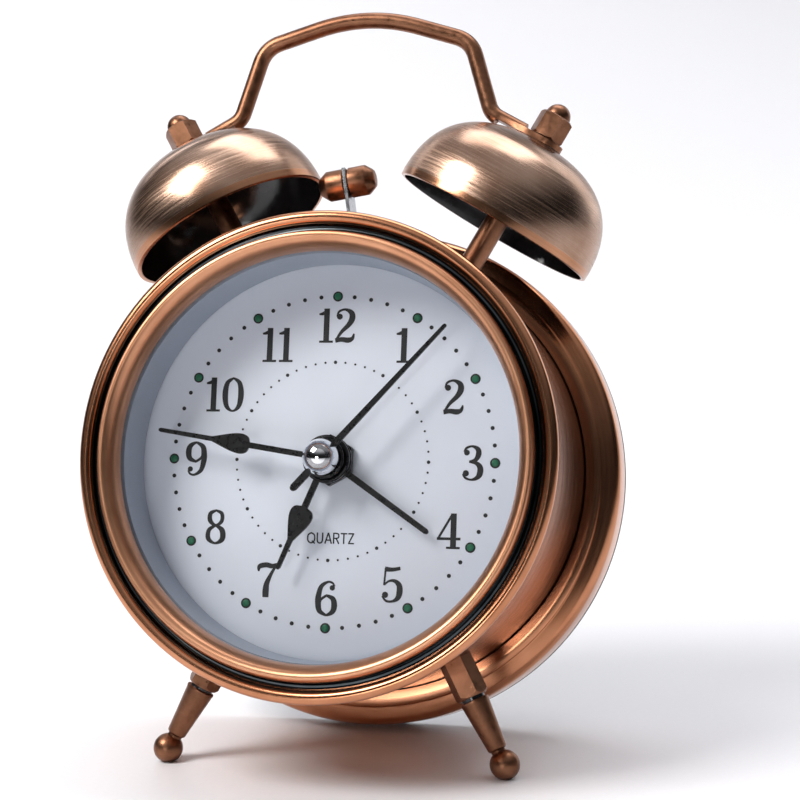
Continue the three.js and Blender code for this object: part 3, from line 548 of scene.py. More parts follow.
def smooth_path(points, steps=7):
    """More places along a path of [x, y, half width], through every given one."""
    if len(points) < 3:
        return points
    path = []
    padded = [points[0]] + list(points) + [points[-1]]
    for i in range(1, len(padded) - 2):
        a, b, c, d = padded[i - 1 : i + 3]
        for step in range(steps):
            t = step / steps
            path.append(tuple(
                0.5 * (2 * q + (r - p) * t + (2 * p - 5 * q + 4 * r - s) * t * t
                       + (3 * q - p - 3 * r + s) * t ** 3)
                for p, q, r, s in zip(a, b, c, d)
            ))
    path.append(tuple(points[-1]))
    return path


def stroke(points, closed=False):
    """The outlines of a pen stroke: one for an open stroke, an outer and an inner one for a loop."""
    path = smooth_path(points + points[:1] if closed else points)
    if closed:
        path = path[:-1]
    left, right = [], []
    count = len(path)
    for i, (x, y, half) in enumerate(path):
        before = path[i - 1] if closed or i else path[i]
        after = path[(i + 1) % count] if closed or i < count - 1 else path[i]
        dx, dy = after[0] - before[0], after[1] - before[1]
        size = math.hypot(dx, dy) or 1
        left.append((x - dy / size * half, y + dx / size * half))
        right.append((x + dy / size * half, y - dx / size * half))
    return left, right


def dot_outline(x, y, radius, count=20):
    turns = [2 * math.pi * i / count for i in range(count)]
    return [(x + radius * math.cos(turn), y + radius * math.sin(turn)) for turn in turns]


def strip(left, right, closed):
    """A thin body between the two edges of a pen stroke."""
    bm = bmesh.new()
    edges = [[bm.verts.new((x * MM, y * MM, z * MM)) for x, z in side] for side in (left,
        right) for y in (-INK, 0.02)]
    left_near, left_far, right_near, right_far = edges
    count = len(left)
    for i in range(count if closed else count - 1):
        j = (i + 1) % count
        bm.faces.new((left_near[i], left_near[j], right_near[j], right_near[i]))
        bm.faces.new((left_far[i], right_far[i], right_far[j], left_far[j]))
        bm.faces.new((left_near[i], left_far[i], left_far[j], left_near[j]))
        bm.faces.new((right_near[i], right_near[j], right_far[j], right_far[i]))
    if not closed:
        for i in (0, count - 1):
            bm.faces.new((left_near[i], right_near[i], right_far[i], left_far[i]))
    return bm


DIGITS = {
    "0": [("loop", [(0.28, 0.985, 0.026), (0.13, 0.84, 0.06), (0.085, 0.5, 0.078), (0.13, 0.16, 0.06),
    (0.28, 0.015, 0.026),
                    (0.43, 0.16, 0.06), (0.475, 0.5, 0.078), (0.43, 0.84, 0.06)])],
    "1": [("line", [(0.3, 0, 0.075), (0.3, 1, 0.075)]),
    ("line", [(0.12, 0.025, 0.028), (0.48, 0.025, 0.028)]),
          ("line", [(0.34, 0.975, 0.03), (0.22, 0.86, 0.045), (0.1, 0.83, 0.022)])],
    "2": [("dot", (0.14, 0.76, 0.078)),
          ("line", [(0.075, 0.76, 0.02), (0.12, 0.91, 0.03), (0.27, 0.97, 0.032), (0.42, 0.87, 0.07),
          (0.44, 0.7, 0.08),
                    (0.36, 0.52, 0.065), (0.2, 0.32, 0.045), (0.08, 0.1, 0.03)]),
          ("line", [(0.05, 0.06, 0.06), (0.2, 0.09, 0.06), (0.36, 0.07, 0.07), (0.46, 0.12, 0.05),
          (0.5, 0.26, 0.02)])],
    "3": [("dot", (0.13, 0.79, 0.075)), ("dot", (0.12, 0.2, 0.08)),
          ("line", [(0.07, 0.81, 0.02), (0.12, 0.92, 0.03), (0.26, 0.97, 0.03), (0.39, 0.88, 0.065),
          (0.4, 0.72, 0.07),
                    (0.33, 0.58, 0.05), (0.19, 0.53, 0.028)]),
          ("line", [(0.19, 0.53, 0.028), (0.36, 0.49, 0.05), (0.45, 0.36, 0.075), (0.44, 0.17, 0.075),
          (0.36, 0.06, 0.05),
                    (0.24, 0.02, 0.028), (0.11, 0.07, 0.03), (0.05, 0.18, 0.02)])],
    "4": [("line", [(0.4, 0.04, 0.075), (0.4, 1, 0.075)]),
    ("line", [(0.24, 0.025, 0.028), (0.56, 0.025, 0.028)]),
          ("line", [(0.37, 0.98, 0.03), (0.05, 0.29, 0.03)]),
          ("line", [(0.02, 0.28, 0.034), (0.57, 0.28, 0.034)])],
    "5": [("dot", (0.12, 0.2, 0.08)), ("line", [(0.1, 0.93, 0.065), (0.28, 0.92, 0.05), (0.46, 0.96, 0.045)]),
          ("line", [(0.115, 0.96, 0.025), (0.09, 0.47, 0.025)]),
          ("line", [(0.09, 0.48, 0.022), (0.2, 0.59, 0.028), (0.33, 0.6, 0.045), (0.44, 0.49, 0.07),
          (0.46, 0.3, 0.08),
                    (0.42, 0.12, 0.065), (0.3, 0.025, 0.032), (0.15, 0.03, 0.03), (0.05, 0.16, 0.02)])],
    "6": [("dot", (0.41, 0.8, 0.07)),
          ("line", [(0.465, 0.84, 0.02), (0.41, 0.94, 0.028), (0.3, 0.965, 0.03), (0.15, 0.84, 0.055),
          (0.09, 0.6, 0.072),
                    (0.08, 0.38, 0.078), (0.12, 0.14, 0.065), (0.27, 0.02, 0.03)]),
          ("loop", [(0.28, 0.58, 0.032), (0.14, 0.45, 0.035), (0.12, 0.28, 0.04), (0.16, 0.1, 0.035),
          (0.28, 0.02, 0.03),
                    (0.43, 0.12, 0.065), (0.47, 0.3, 0.078), (0.43, 0.49, 0.065)])],
    "7": [("line", [(0.06, 0.74, 0.02), (0.08, 0.88, 0.06), (0.24, 0.93, 0.065), (0.38, 0.9, 0.06),
    (0.5, 0.96, 0.03)]),
          ("line", [(0.49, 0.95, 0.03), (0.36, 0.66, 0.045), (0.27, 0.4, 0.07), (0.25, 0.2, 0.085),
          (0.25, 0.0, 0.08)])],
    "8": [("loop", [(0.28, 0.975, 0.028), (0.14, 0.88, 0.055), (0.14, 0.67, 0.06), (0.28, 0.54, 0.034),
    (0.42, 0.66, 0.05),
                    (0.42, 0.88, 0.05)]),
          ("loop", [(0.28, 0.54, 0.03), (0.12, 0.4, 0.055), (0.11, 0.15, 0.062), (0.28, 0.02, 0.03),
          (0.45, 0.14, 0.07),
                    (0.44, 0.4, 0.07)])],
}

LETTERS = {
    "Q": [("loop", [(0.4, 0.96, 0.06), (0.1, 0.75, 0.06), (0.1, 0.25, 0.06), (0.4, 0.04, 0.06),
    (0.7, 0.25, 0.06), (0.7, 0.75, 0.06)]),
          ("line", [(0.48, 0.24, 0.055), (0.76, -0.02, 0.055)])],
    "U": [("line", [(0.1, 1, 0.06), (0.1, 0.38, 0.06), (0.17, 0.12, 0.06), (0.35, 0.04, 0.06),
    (0.53, 0.12, 0.06), (0.6, 0.38, 0.06), (0.6, 1, 0.06)])],
    "A": [("line", [(0.04, 0, 0.06), (0.35, 1, 0.06)]), ("line", [(0.35, 1, 0.06), (0.66, 0, 0.06)]),
    ("line", [(0.14, 0.32, 0.055), (0.56, 0.32, 0.055)])],
    "R": [("line", [(0.1, 0, 0.06), (0.1, 1, 0.06)]),
          ("line", [(0.06, 0.95, 0.055), (0.38, 0.95, 0.055), (0.56, 0.86, 0.055), (0.56, 0.6, 0.055),
          (0.38, 0.5, 0.055), (0.1, 0.5, 0.055)]),
          ("line", [(0.34, 0.5, 0.055), (0.6, 0, 0.06)])],
    "T": [("line", [(0.32, 0, 0.06), (0.32, 0.98, 0.06)]),
    ("line", [(0.02, 0.945, 0.055), (0.62, 0.945, 0.055)])],
    "Z": [("line", [(0.05, 0.945, 0.055), (0.58, 0.945, 0.055)]),
    ("line", [(0.54, 0.96, 0.055), (0.08, 0.04, 0.055)]),
    ("line", [(0.04, 0.055, 0.055), (0.6, 0.055, 0.055)])],
}


def glyph(parts, height, stretch=1.0, weight=1.0):
    """One printed sign as a thin body standing on the dial's centre line; its strokes are joined into one."""
    made = None
    for kind, data in parts:
        if kind == "dot":
            x, y, radius = data
            body = prism(dot_outline(x * height * stretch, y * height, radius * height * weight), -INK, 0.02)
        else:
            path = [(x * height * stretch, y * height, half * height * weight) for x, y, half in data]
            closed = kind == "loop"
            body = strip(*stroke(path, closed), closed)
        made = as_object(body) if made is None else combine(made, [body], "UNION")
    return made


def slide(thing, x, z):
    thing.data.transform(shift(x, 0, z))
    return thing


def span(things, axis):
    values = [vert.co[axis] / MM for thing in things for vert in thing.data.vertices]
    return min(values), max(values)


def join_objects(things):
    bm = bmesh.new()
    for thing in things:
        bm.from_mesh(thing.data)
        bpy.data.objects.remove(thing)
    return bm


NUMERAL_HEIGHT = 7.5
NUMERAL_RADIUS = 29.6
# How far a numeral stands from its place on the circle, in millimetres, to balance it on the dial.
NUMERAL_SHIFT = {1: (0.3, -0.4), 2: (0.9, -0.7), 3: (1.6, 0), 4: (0.8, 0.2), 5: (-0.3, -0.6),
    7: (1.3, -0.4), 9: (-1.3, 0),
                 10: (0.7, -0.5), 11: (1.5, -0.3)}


def numeral(text):
    signs = []
    place = 0.0
    for sign in text:
        if sign == "9":
            parts = [(kind, turn_over(data, kind)) for kind, data in DIGITS["6"]]
        else:
            parts = DIGITS[sign]
        stretch = 1.15 if sign == "1" else 1.24
        made = glyph(parts, NUMERAL_HEIGHT, stretch, 1.12)
        low, high = span([made], 0)
        slide(made, place - low, 0)
        place += high - low + 0.45
        signs.append(made)
    return signs


def make_printing():
    signs = []
    for hour in range(1, 13):
        angle = math.radians(30 * hour)
        aside, above = NUMERAL_SHIFT.get(hour, (0, 0))
        made = numeral(str(hour))
        low, high = span(made, 0)
        x = NUMERAL_RADIUS * math.sin(angle) + aside - (low + high) / 2
        z = NUMERAL_RADIUS * math.cos(angle) + above - NUMERAL_HEIGHT / 2
        signs += [slide(sign, x, z) for sign in made]
    cap = 2.35
    advance = [0.88, 0.8, 0.76, 0.74, 0.7, 0.66]
    place = -sum(advance) * cap / 2 + 0.5
    for sign, step in zip("QUARTZ", advance):
        signs.append(slide(glyph(LETTERS[sign], cap, 1.0, 1.1), place, -17.9))
        place += step * cap
    bm = join_objects(signs)
    for minute in range(60):
        angle = math.radians(6 * minute)
        large = minute % 5 == 0
        for radius, dot in ((36.0, 1.12 if large else 0.45), (21.5, 0.38 if large else 0.24)):
            x, z = radius * math.sin(angle), radius * math.cos(angle)
            add_to(bm, prism(dot_outline(x, z, dot, 28 if large else 14), -INK, 0.02))
    piece("dial_printing", bm, CLOCK, "case", "hand_black", print_ink)
    lume = bmesh.new()
    for hour in range(12):
        angle = math.radians(30 * hour)
        place = shift(36 * math.sin(angle), 0, 36 * math.cos(angle)) @ turned(-90, "X")
        add_to(lume, lathe([(0, -0.24), (0.45, -0.22), (0.7, -0.15), (0.8, -0.04), (0, -0.04)], 28), place)
    piece("dial_markers", lume, CLOCK, "case", "dial", lume_green)


def turn_over(data, kind):
    if kind == "dot":
        return (0.56 - data[0], 1 - data[1], data[2])
    return [(0.56 - x, 1 - y, half) for x, y, half in data]


# ---- Hands -----------------------------------------------------------------------------------------
def drop(length, start, end, half, tip, steps=26):
    right = [(tip * 1.4, 2), (tip * 1.4, start)]
    for i in range(1, steps):
        share = i / steps
        swell = math.sin(math.pi * math.sqrt(share))
        right.append((tip * 1.2 + (half - tip) * swell, start + (end - start) * share))
    right += [(tip * 1.2, end), (tip, length - tip), (tip * 0.5, length)]
    return right + [(-x, z) for x, z in right[::-1]]


def needle(start, end, root, tip):
    right = [(root, start), (tip, end - tip), (tip * 0.7, end - 0.3 * tip), (tip * 0.3, end)]
    return right + [(-x, z) for x, z in right[::-1]]


def boss(radius, y, thick=0.3, bore=0.0):
    """A disc about the dial axis with a raised, rounded edge, in the clock's frame."""
    rim = [(radius - 0.9, -thick - 0.15), (radius - 0.5, -thick - 0.32), (radius - 0.15, -thick - 0.15),
        (radius, -thick + 0.05)]
    bm = lathe([(bore, -thick)] + rim + [(radius, thick), (bore, thick)], 64)
    bm.transform(shift(0, y, 0) @ turned(-90, "X"))
    return bm


def make_hands():
    thick = 0.3
    y = HAND_Y["alarm"]
    flat = combine(prism(needle(2, 27.2, 0.7, 0.6), y - thick, y + thick), [boss(5.2, y, thick, 2.8)],
        "UNION")
    hand = bevel(flat, 0.1, 2, 40)
    piece("alarm_pointer", hand, CLOCK @ turned(HANDS["alarm"]), "alarm_indicator", "hand_black",
        black_enamel, "alarm_hand")
    y = HAND_Y["hour"]
    flat = combine(prism(drop(25.8, 11.3, 19, 2.5, 0.5), y - thick, y + thick),
        [boss(5.2, y, thick, 2.0)], "UNION")
    hand = bevel(flat, 0.12, 2, 40)
    piece("hour_pointer", hand, CLOCK @ turned(HANDS["hour"]), "hour_indicator", "hand_black",
        black_enamel, "hour_hand")
    y = HAND_Y["minute"]
    flat = combine(prism(drop(38, 17, 25.6, 2.1, 0.45), y - thick, y + thick), [boss(4.4, y, thick, 1.2)],
        "UNION")
    hand = bevel(flat, 0.12, 2, 40)
    piece("minute_pointer", hand, CLOCK @ turned(HANDS["minute"]), "minute_indicator", "hand_black",
        black_enamel, "minute_hand")
    y = HAND_Y["second"]
    flat = prism(needle(2, 38.7, 0.75, 0.4), y - thick, y + thick)
    tail = prism(needle(1, 9.6, 0.8, 0.8), y - thick, y + thick)
    tail.transform(turned(180))
    flat = combine(flat, [tail, boss(3, y, thick, 0.6)], "UNION")
    hand = bevel(flat, 0.1, 2, 40)
    piece("second_pointer", hand, CLOCK @ turned(HANDS["second"]), "second_indicator", "hand_black",
        black_enamel, "second_hand")
    back = y - 0.4
    cap = [(0, back)] + [(3.9, back)] + arc(0, back - 0.6, 3.9, 0, -90, 24)
    piece("cap_dome", lathe(cap, 96), DEPTH, "second_indicator", "chrome", chrome, "centre_cap")


# ---- Bells, handle and feet ------------------------------------------------------------------------
def spoke(side):
    return CLOCK @ shift(0, BELL_DEPTH, 0) @ turned(side * BELL_ANGLE)


def dome_point(radius, height, share):
    angle = share * math.pi / 2
    return (radius * math.cos(angle) ** 0.8, BELL_RIM + height * math.sin(angle) ** 0.8)


def make_bell(side, name):
    steps = 36
    shares = [i / steps for i in range(steps)]
    lip = [(BELL_RADIUS - 1.0, BELL_RIM + 0.02), (BELL_RADIUS - 0.55, BELL_RIM),
        (BELL_RADIUS - 0.12, BELL_RIM + 0.12)]
    outer = [dome_point(BELL_RADIUS, BELL_HEIGHT, s) for s in shares if s > 0.004]
    inner = [dome_point(BELL_RADIUS - 1.1, BELL_HEIGHT - 1, s) for s in shares if s > 0.004][::-1]
    outline = lip + outer + [(1.7, BELL_TOP), (1.7, BELL_TOP - 1)] + inner
    shell = lathe(outline, 128)
    bell = piece("bell_shell_" + name, shell, spoke(side), "case", "bell_copper", bell_copper, "bell_" + name)
    centre = BELL_RADIUS - 0.55

    def is_inside(x, y, z):
        radius = math.hypot(x, y)
        share = (z - BELL_RIM) / (BELL_HEIGHT - 0.5)
        share = min(max(share, 0.0), 1.0)
        angle = math.asin(share ** 1.25)
        return radius < centre * math.cos(angle) ** 0.8 and z > BELL_RIM + 0.1 and z < BELL_TOP - 0.3

    # Painted shade: the inside of the bell is coloured near black.
    paint_where(bell, painted_shade_black, is_inside)
    paint_where(bell, bell_lip, lambda x, y, z: z < BELL_RIM + 1.3 and not is_inside(x, y, z))

    shoulder = BELL_TOP - 1.3
    post = [(0, DRUM - 1.2), (2.6, DRUM - 1.2), (2.6, DRUM + 1.0), (2.55, DRUM + 1.2), (2.6, DRUM + 1.4)]
    post += [(2.6, shoulder - 0.4), (2.3, shoulder), (1.5, shoulder), (1.5, NUT + NUT_HEIGHT - 1),
        (0, NUT + NUT_HEIGHT - 1)]
    piece("bell_stem_" + name, lathe(post, 48), spoke(side), "case", "aged_copper", aged_copper,
        "bell_post_" + name)

    nut = hexagon(7.0, NUT, NUT + NUT_HEIGHT)
    limit = [(0, NUT - 1), (3.6, NUT - 1), (3.6, NUT + 0.05), (4.08, NUT + 0.45),
        (4.08, NUT + NUT_HEIGHT - 0.6)]
    limit += [(3.3, NUT + NUT_HEIGHT - 0.02), (0, NUT + NUT_HEIGHT + 0.02)]
    nut = combine(nut, [lathe(limit, 64)], "INTERSECT")
    crown = [(0, NUT + NUT_HEIGHT - 0.6)] + [(2.9, NUT + NUT_HEIGHT - 0.6)] + arc(0,
        NUT + NUT_HEIGHT - 0.1, 2.9, 0, 90, 14)
    nut = combine(nut, [lathe(crown, 48)], "UNION")
    nut = combine(nut, [lathe([(0, NUT - 1), (1.7, NUT - 1), (1.7, NUT + NUT_HEIGHT - 0.7),
        (0, NUT + NUT_HEIGHT - 0.7)], 32)])
    sharpen(nut, 28)
    piece("dome_nut_" + name, nut, spoke(side), "case", "aged_copper", aged_copper, "acorn_nut_" + name)


def rounded(corners, steps=14):
    """Places along straight runs whose corners are bent, as in the CAD model."""
    points = [Vector((x, 0, z)) for x, z, _ in corners]
    path = [points[0]]
    for i in range(1, len(points) - 1):
        back = points[i - 1] - points[i]
        ahead = points[i + 1] - points[i]
        wanted = corners[i][2] / math.tan(back.angle(ahead) / 2)
        reach = min(wanted, 0.49 * back.length, 0.49 * ahead.length)
        enter = points[i] + back.normalized() * reach
        leave = points[i] + ahead.normalized() * reach
        for step in range(steps + 1):
            t = step / steps
            path.append(enter * (1 - t) ** 2 + points[i] * 2 * t * (1 - t) + leave * t * t)
    path.append(points[-1])
    return path


def tube(path, radius, segments=28):
    bm = bmesh.new()
    rings = []
    for i, point in enumerate(path):
        before = path[max(i - 1, 0)]
        after = path[min(i + 1, len(path) - 1)]
        along = (after - before).normalized()
        side = Vector((0, 1, 0))
        other = along.cross(side)
        ring = []
        for k in range(segments):
            angle = 2 * math.pi * k / segments
            spot = point + (side * math.cos(angle) + other * math.sin(angle)) * radius
            ring.append(bm.verts.new(spot * MM))
        rings.append(ring)
    for a, b in zip(rings, rings[1:]):
        for k in range(segments):
            j = (k + 1) % segments
            bm.faces.new((a[k], a[j], b[j], b[k]))
    bm.faces.new(rings[0])
    bm.faces.new(rings[-1][::-1])
    return bm


def make_handle():
    tilt = math.radians(BELL_ANGLE)
    middle = STRAP + STRAP_THICK / 2
    nut_x, nut_z = middle * math.sin(tilt), middle * math.cos(tilt)

    def along(reach):
        return nut_x - reach * math.cos(tilt), nut_z + reach * math.sin(tilt)

    low_x, low_z = along(13.7)
    start_x, start_z = along(5.0)
    corners = [(-start_x, start_z, 0), (-low_x, low_z, 5), (-24.4, 97.4, 7), (0, 105, 60), (24.4, 97.4, 7)]
    corners += [(low_x, low_z, 5), (start_x, start_z, 0)]
    rod = as_object(tube(rounded(corners), 1.85))
    for side in (-1, 1):
        outline = []
        for i in range(17):
            angle = math.radians(-90 + 180 * i / 16)
            outline.append((3.2 * math.cos(angle) + 1.5, 3.2 * math.sin(angle)))
        outline += [(-4.5, 3.0), (-8, 1.7), (-8, -1.7), (-4.5, -3.0)]
        bm = bmesh.new()
        low = [bm.verts.new((side * x * MM, y * MM, STRAP * MM)) for x, y in outline]
        high = [bm.verts.new((side * x * MM, y * MM, (STRAP + STRAP_THICK) * MM)) for x, y in outline]
        bm.faces.new(low)
        bm.faces.new(high[::-1])
        for i in range(len(outline)):
            j = (i + 1) % len(outline)
            bm.faces.new((low[i], low[j], high[j], high[i]))
        bm.transform(turned(side * BELL_ANGLE))
        combine(rod, [bm], "UNION")
        clear = lathe([(0, STRAP - 4), (12, STRAP - 4), (12, STRAP), (0, STRAP)], 48)
        clear.transform(turned(side * BELL_ANGLE))
        above = STRAP + STRAP_THICK
        room = lathe([(0, above), (4.5, above), (4.5, above + 9), (0, above + 9)], 48)
        room.transform(turned(side * BELL_ANGLE))
        hole = lathe([(0, STRAP - 1), (1.7, STRAP - 1), (1.7, NUT + 1), (0, NUT + 1)], 32)
        hole.transform(turned(side * BELL_ANGLE))
        combine(rod, [clear, room, hole])
    sharpen(rod, 40)
    piece("carry_handle", rod, CLOCK @ shift(0, BELL_DEPTH, 0), "case", "aged_copper", aged_copper, "handle")


def make_leg(side, name):
    tilt = math.radians(LEG_TILT)
    x = side * (FOOT_X - LEG_REACH * math.sin(tilt))
    z = FOOT_Z + LEG_REACH * math.cos(tilt)
    place = CLOCK @ shift(x, LEG_DEPTH, z) @ turned(180 - side * LEG_TILT)
    cone_end = LEG_REACH - 3.6
    cone_start = cone_end - 11.4
    hex_end = cone_start - 0.7
    outline = [(0, DRUM - 4), (2.6, DRUM - 4), (2.6, hex_end - 0.4), (2.55, cone_start - 0.05),
        (3.05, cone_start)]
    outline += [(3.2, cone_start + 0.15), (3.2, cone_start + 0.45), (3.1, cone_start + 0.7),
        (2.1, cone_end - 0.25)]
    outline += [(1.95, cone_end), (1.6, cone_end + 0.3), (1.6, LEG_REACH - 2.7)]
    outline += arc(0, LEG_REACH, FOOT_RADIUS, -58, 90, 26)
    leg = as_object(lathe(outline, 56))
    bar = hexagon(6.5, DRUM - 3, hex_end)
    trim = [(0, DRUM - 6), (3.8, DRUM - 6), (3.8, hex_end - 0.9), (3.15, hex_end), (0, hex_end + 0.01)]
    bar = combine(bar, [lathe(trim, 64)], "INTERSECT")
    combine(leg, [bar], "UNION")
    drum = lathe([(0, -20), (DRUM - 0.4, -20), (DRUM - 0.4, 60), (0, 60)], 96)
    drum.transform(place.inverted() @ DEPTH)
    combine(leg, [drum])
    lowest = CAD_BOX[0][2]
    floor = box(-90, -90, -60, 90, 90, 0)
    floor.transform(place.inverted() @ Matrix.Translation((0, 0, lowest + 0.00002)))
    combine(leg, [floor])
    sharpen(leg, 30)
    made = piece("leg_" + name, leg, place, "case", "aged_copper", aged_copper, "foot_" + name)
    # Painted shade: the narrow neck between the hex and the cone is coloured near black.
    paint_where(
        made, painted_shade_black,
        lambda px, py, pz: hex_end + 0.05 < pz < cone_start - 0.1 and math.hypot(px, py) < 2.75)


# ---- Hammer ----------------------------------------------------------------------------------------
def make_hammer():
    place = CLOCK @ shift(0, BELL_DEPTH, HAMMER_PIVOT) @ turned(-HAMMER_REST)
    strip = box(-0.4, -3.2, -14.5, 0.4, 3.2, HAMMER_ARM + HEAD_RADIUS - 0.4)
    hub = lathe([(0, -3.2), (1.9, -3.2), (1.9, 3.2), (0, 3.2)], 40)
    hub.transform(turned(-90, "X"))
    arm = combine(strip, [hub], "UNION")
    hole = lathe([(0, -5), (1, -5), (1, 5), (0, 5)], 24)
    hole.transform(turned(-90, "X"))
    arm = bevel(combine(arm, [hole]), 0.12, 2, 40)
    piece("striker_arm", arm, place, "hammer", "steel", steel, "hammer_arm")
    reach = HEAD_LENGTH / 2
    for side, name in ((-1, "left"), (1, "right")):
        start = 0.5
        outline = [(0, start), (HEAD_RADIUS - 0.25, start), (HEAD_RADIUS, start + 0.25),
            (HEAD_RADIUS, reach - 2.1)]
        outline += [(HEAD_RADIUS - 0.1, reach - 1.9), (HEAD_RADIUS - 1.2, reach - 0.5),
            (HEAD_RADIUS - 1.55, reach - 0.15)]
        outline += [(HEAD_RADIUS - 2.1, reach), (0, reach)]
        head = lathe(outline, 64)
        turn = place @ shift(0, 0, HAMMER_ARM) @ turned(side * 90)
        piece("striker_" + name, head, turn, "hammer", "aged_copper", aged_copper, "hammer_head_" + name)


# ---- Back ------------------------------------------------------------------------------------------
SETTING_X = 9.6 * math.cos(math.radians(42))
SETTING_Z = 9.6 * math.sin(math.radians(42))


def make_back():
    body = [(0, COVER_FRONT), (RIM - 0.3, COVER_FRONT), (RIM, COVER_FRONT + 0.3), (RIM, COVER_BACK - 0.5)]
    body += [(RIM - 0.25, COVER_BACK - 0.12), (RIM - 0.7, COVER_BACK), (RIM - 3.2, COVER_BACK)]
    body += [(RIM - 3.5, COVER_BACK - 0.35), (RIM - 4.1, COVER_BACK - 0.35), (RIM - 4.4, COVER_BACK),
        (0, COVER_BACK)]
    cover = as_object(lathe(body, 160))
    half_x = DOOR_HALF_X + 0.3
    tools = []
    middle, half = DOOR_MIDDLE, DOOR_HALF
    tools.append(box(-half_x, COVER_FRONT - 1, middle - half - 0.3, half_x, COVER_BACK + 1,
        middle + half + 0.3))
    for side in (-1, 1):
        hole = lathe([(0, COVER_FRONT - 1), (1.5, COVER_FRONT - 1), (1.5, COVER_BACK + 1),
            (0, COVER_BACK + 1)], 32)
        hole.transform(shift(side * SETTING_X, 0, SETTING_Z) @ turned(-90, "X"))
        tools.append(hole)
    tools.append(box(-5.2, COVER_FRONT - 1, 26.6, 5.2, COVER_BACK + 1, 29.4))
    for k in range(7):
        x = (k - 3) * 5.0
        tools.append(box(x - 1.1, COVER_BACK - 0.5, 36.0, x + 1.1, COVER_BACK + 1, 37.6))
    for tool in tools:
        tool.transform(turned(90, "X"))
    combine(cover, tools)
    sharpen(cover, 30)
    piece("rear_cover", cover, DEPTH, "case", "black_plastic", black_plastic, "back_cover")

    for side, node, body_name in ((1, "time_set_knob", "time_setting"),
        (-1, "alarm_set_knob", "alarm_setting")):
        front = COVER_BACK + 0.8
        outline = []
        ribs = 24
        for i in range(ribs * 8):
            angle = 2 * math.pi * i / (ribs * 8)
            wave = math.cos(ribs * angle)
            radius = 6.0 - 0.22 + 0.2 * max(-1.0, min(1.0, wave * 1.8))
            outline.append((radius * math.sin(angle), radius * math.cos(angle)))
        grip = bevel(prism(outline, front + 1.6, front + 6.8), 0.35, 3, 50)
        skirt = lathe([(1.2, front), (4.4, front), (4.4, front + 2), (1.2, front + 2)], 48)
        skirt.transform(turned(-90, "X"))
        dish = lathe([(0, front + 6.2), (3.9, front + 6.2), (4.2, front + 7.5), (0, front + 7.5)], 64)
        dish.transform(turned(-90, "X"))
        bore = lathe([(0, front - 1), (1.2, front - 1), (1.2, front + 5.8), (0, front + 5.8)], 24)
        bore.transform(turned(-90, "X"))
        made = combine(grip, [skirt], "UNION")
        made = combine(made, [dish, bore])
        sharpen(made, 32)
        place = CLOCK @ shift(side * SETTING_X, 0, SETTING_Z)
        piece(node + "_grip", made, place, body_name, "black_plastic", black_plastic, node)

    make_door()
    make_screws()
    slide = combine(box(-1.8, COVER_FRONT - 1.2, -1, 1.8, COVER_BACK + 2.6, 1),
        [box(-3.2, COVER_FRONT - 2.2, -3, 3.2, COVER_FRONT - 1, 3)], "UNION")
    ridges = [box(x - 0.18, COVER_BACK + 2.25, -1.5, x + 0.18, COVER_BACK + 3, 1.5) for x in (-0.9, 0, 0.9)]
    slide = bevel(combine(slide, ridges), 0.14, 2, 50)
    piece("alarm_slide", slide, CLOCK @ shift(-3, 0, 28), "alarm_slider", "black_plastic", white_plastic,
        "alarm_switch")


CELL_RADIUS = 7.25
HOLDER_TOP = -1.6
HOLDER_BOTTOM = HOLDER_TOP - 2 * 1.2 - 2 * 0.4 - 2 * CELL_RADIUS - 15.2
DOOR_MIDDLE = (HOLDER_TOP + HOLDER_BOTTOM) / 2
DOOR_HALF = (HOLDER_TOP - HOLDER_BOTTOM) / 2 - 1.2
DOOR_HALF_X = 26.45


def make_door():
    half = 0.75
    half_x = DOOR_HALF_X
    height = 2 * DOOR_HALF - half
    hinge = shift(0, (COVER_FRONT + COVER_BACK) / 2, DOOR_MIDDLE + DOOR_HALF - half)
    leaf = box(-half_x, -half, -height, half_x, half, 0)
    knuckle = lathe([(0, -half_x), (half, -half_x), (half, half_x), (0, half_x)], 32)
    knuckle.transform(turned(90))
    door = combine(leaf, [knuckle], "UNION")
    grooves = []
    for k in range(6):
        z = -height + 5.5 + k * 1.6
        grooves.append(box(-7, half - 0.3, z, 7, half + 1, z + 0.7))
    door = combine(door, grooves)
    grip = box(-6, half - 0.5, -height + 1.5, 6, half + 1, -height + 3)
    door = combine(door, [bevel(grip, 0.3, 3)], "UNION")
    door = bevel(door, 0.15, 2, 50)
    piece("battery_lid_leaf", door, CLOCK @ hinge, "battery_lid", "black_plastic", black_plastic,
        "battery_door")


def make_screws():
    circle = DRUM - 5.5
    for number, angle in enumerate((90, 210, 330), 1):
        x = circle * math.sin(math.radians(angle - 90))
        z = circle * math.cos(math.radians(angle - 90))
        top = COVER_BACK
        outline = [(0, COVER_FRONT - 6), (1, COVER_FRONT - 6), (1, top + 0.2), (2.4, top + 0.2),
            (2.4, top + 0.8)]
        outline += [(2.25, top + 1.08), (1.6, top + 1.42), (0.8, top + 1.56), (0, top + 1.6)]
        screw = as_object(lathe(outline, 48))
        cross = [box(-1.4, top + 0.9, -0.25, 1.4, top + 3, 0.25),
            box(-0.25, top + 0.9, -1.4, 0.25, top + 3, 1.4)]
        for tool in cross:
            tool.transform(turned(90, "X"))
        combine(screw, cross)
        sharpen(screw, 32)
        node = "back_screw_%d" % number
        piece("cover_screw_%d" % number, screw, CLOCK @ shift(x, 0, z) @ turned(-90, "X"), "case",
            "steel", steel, node)


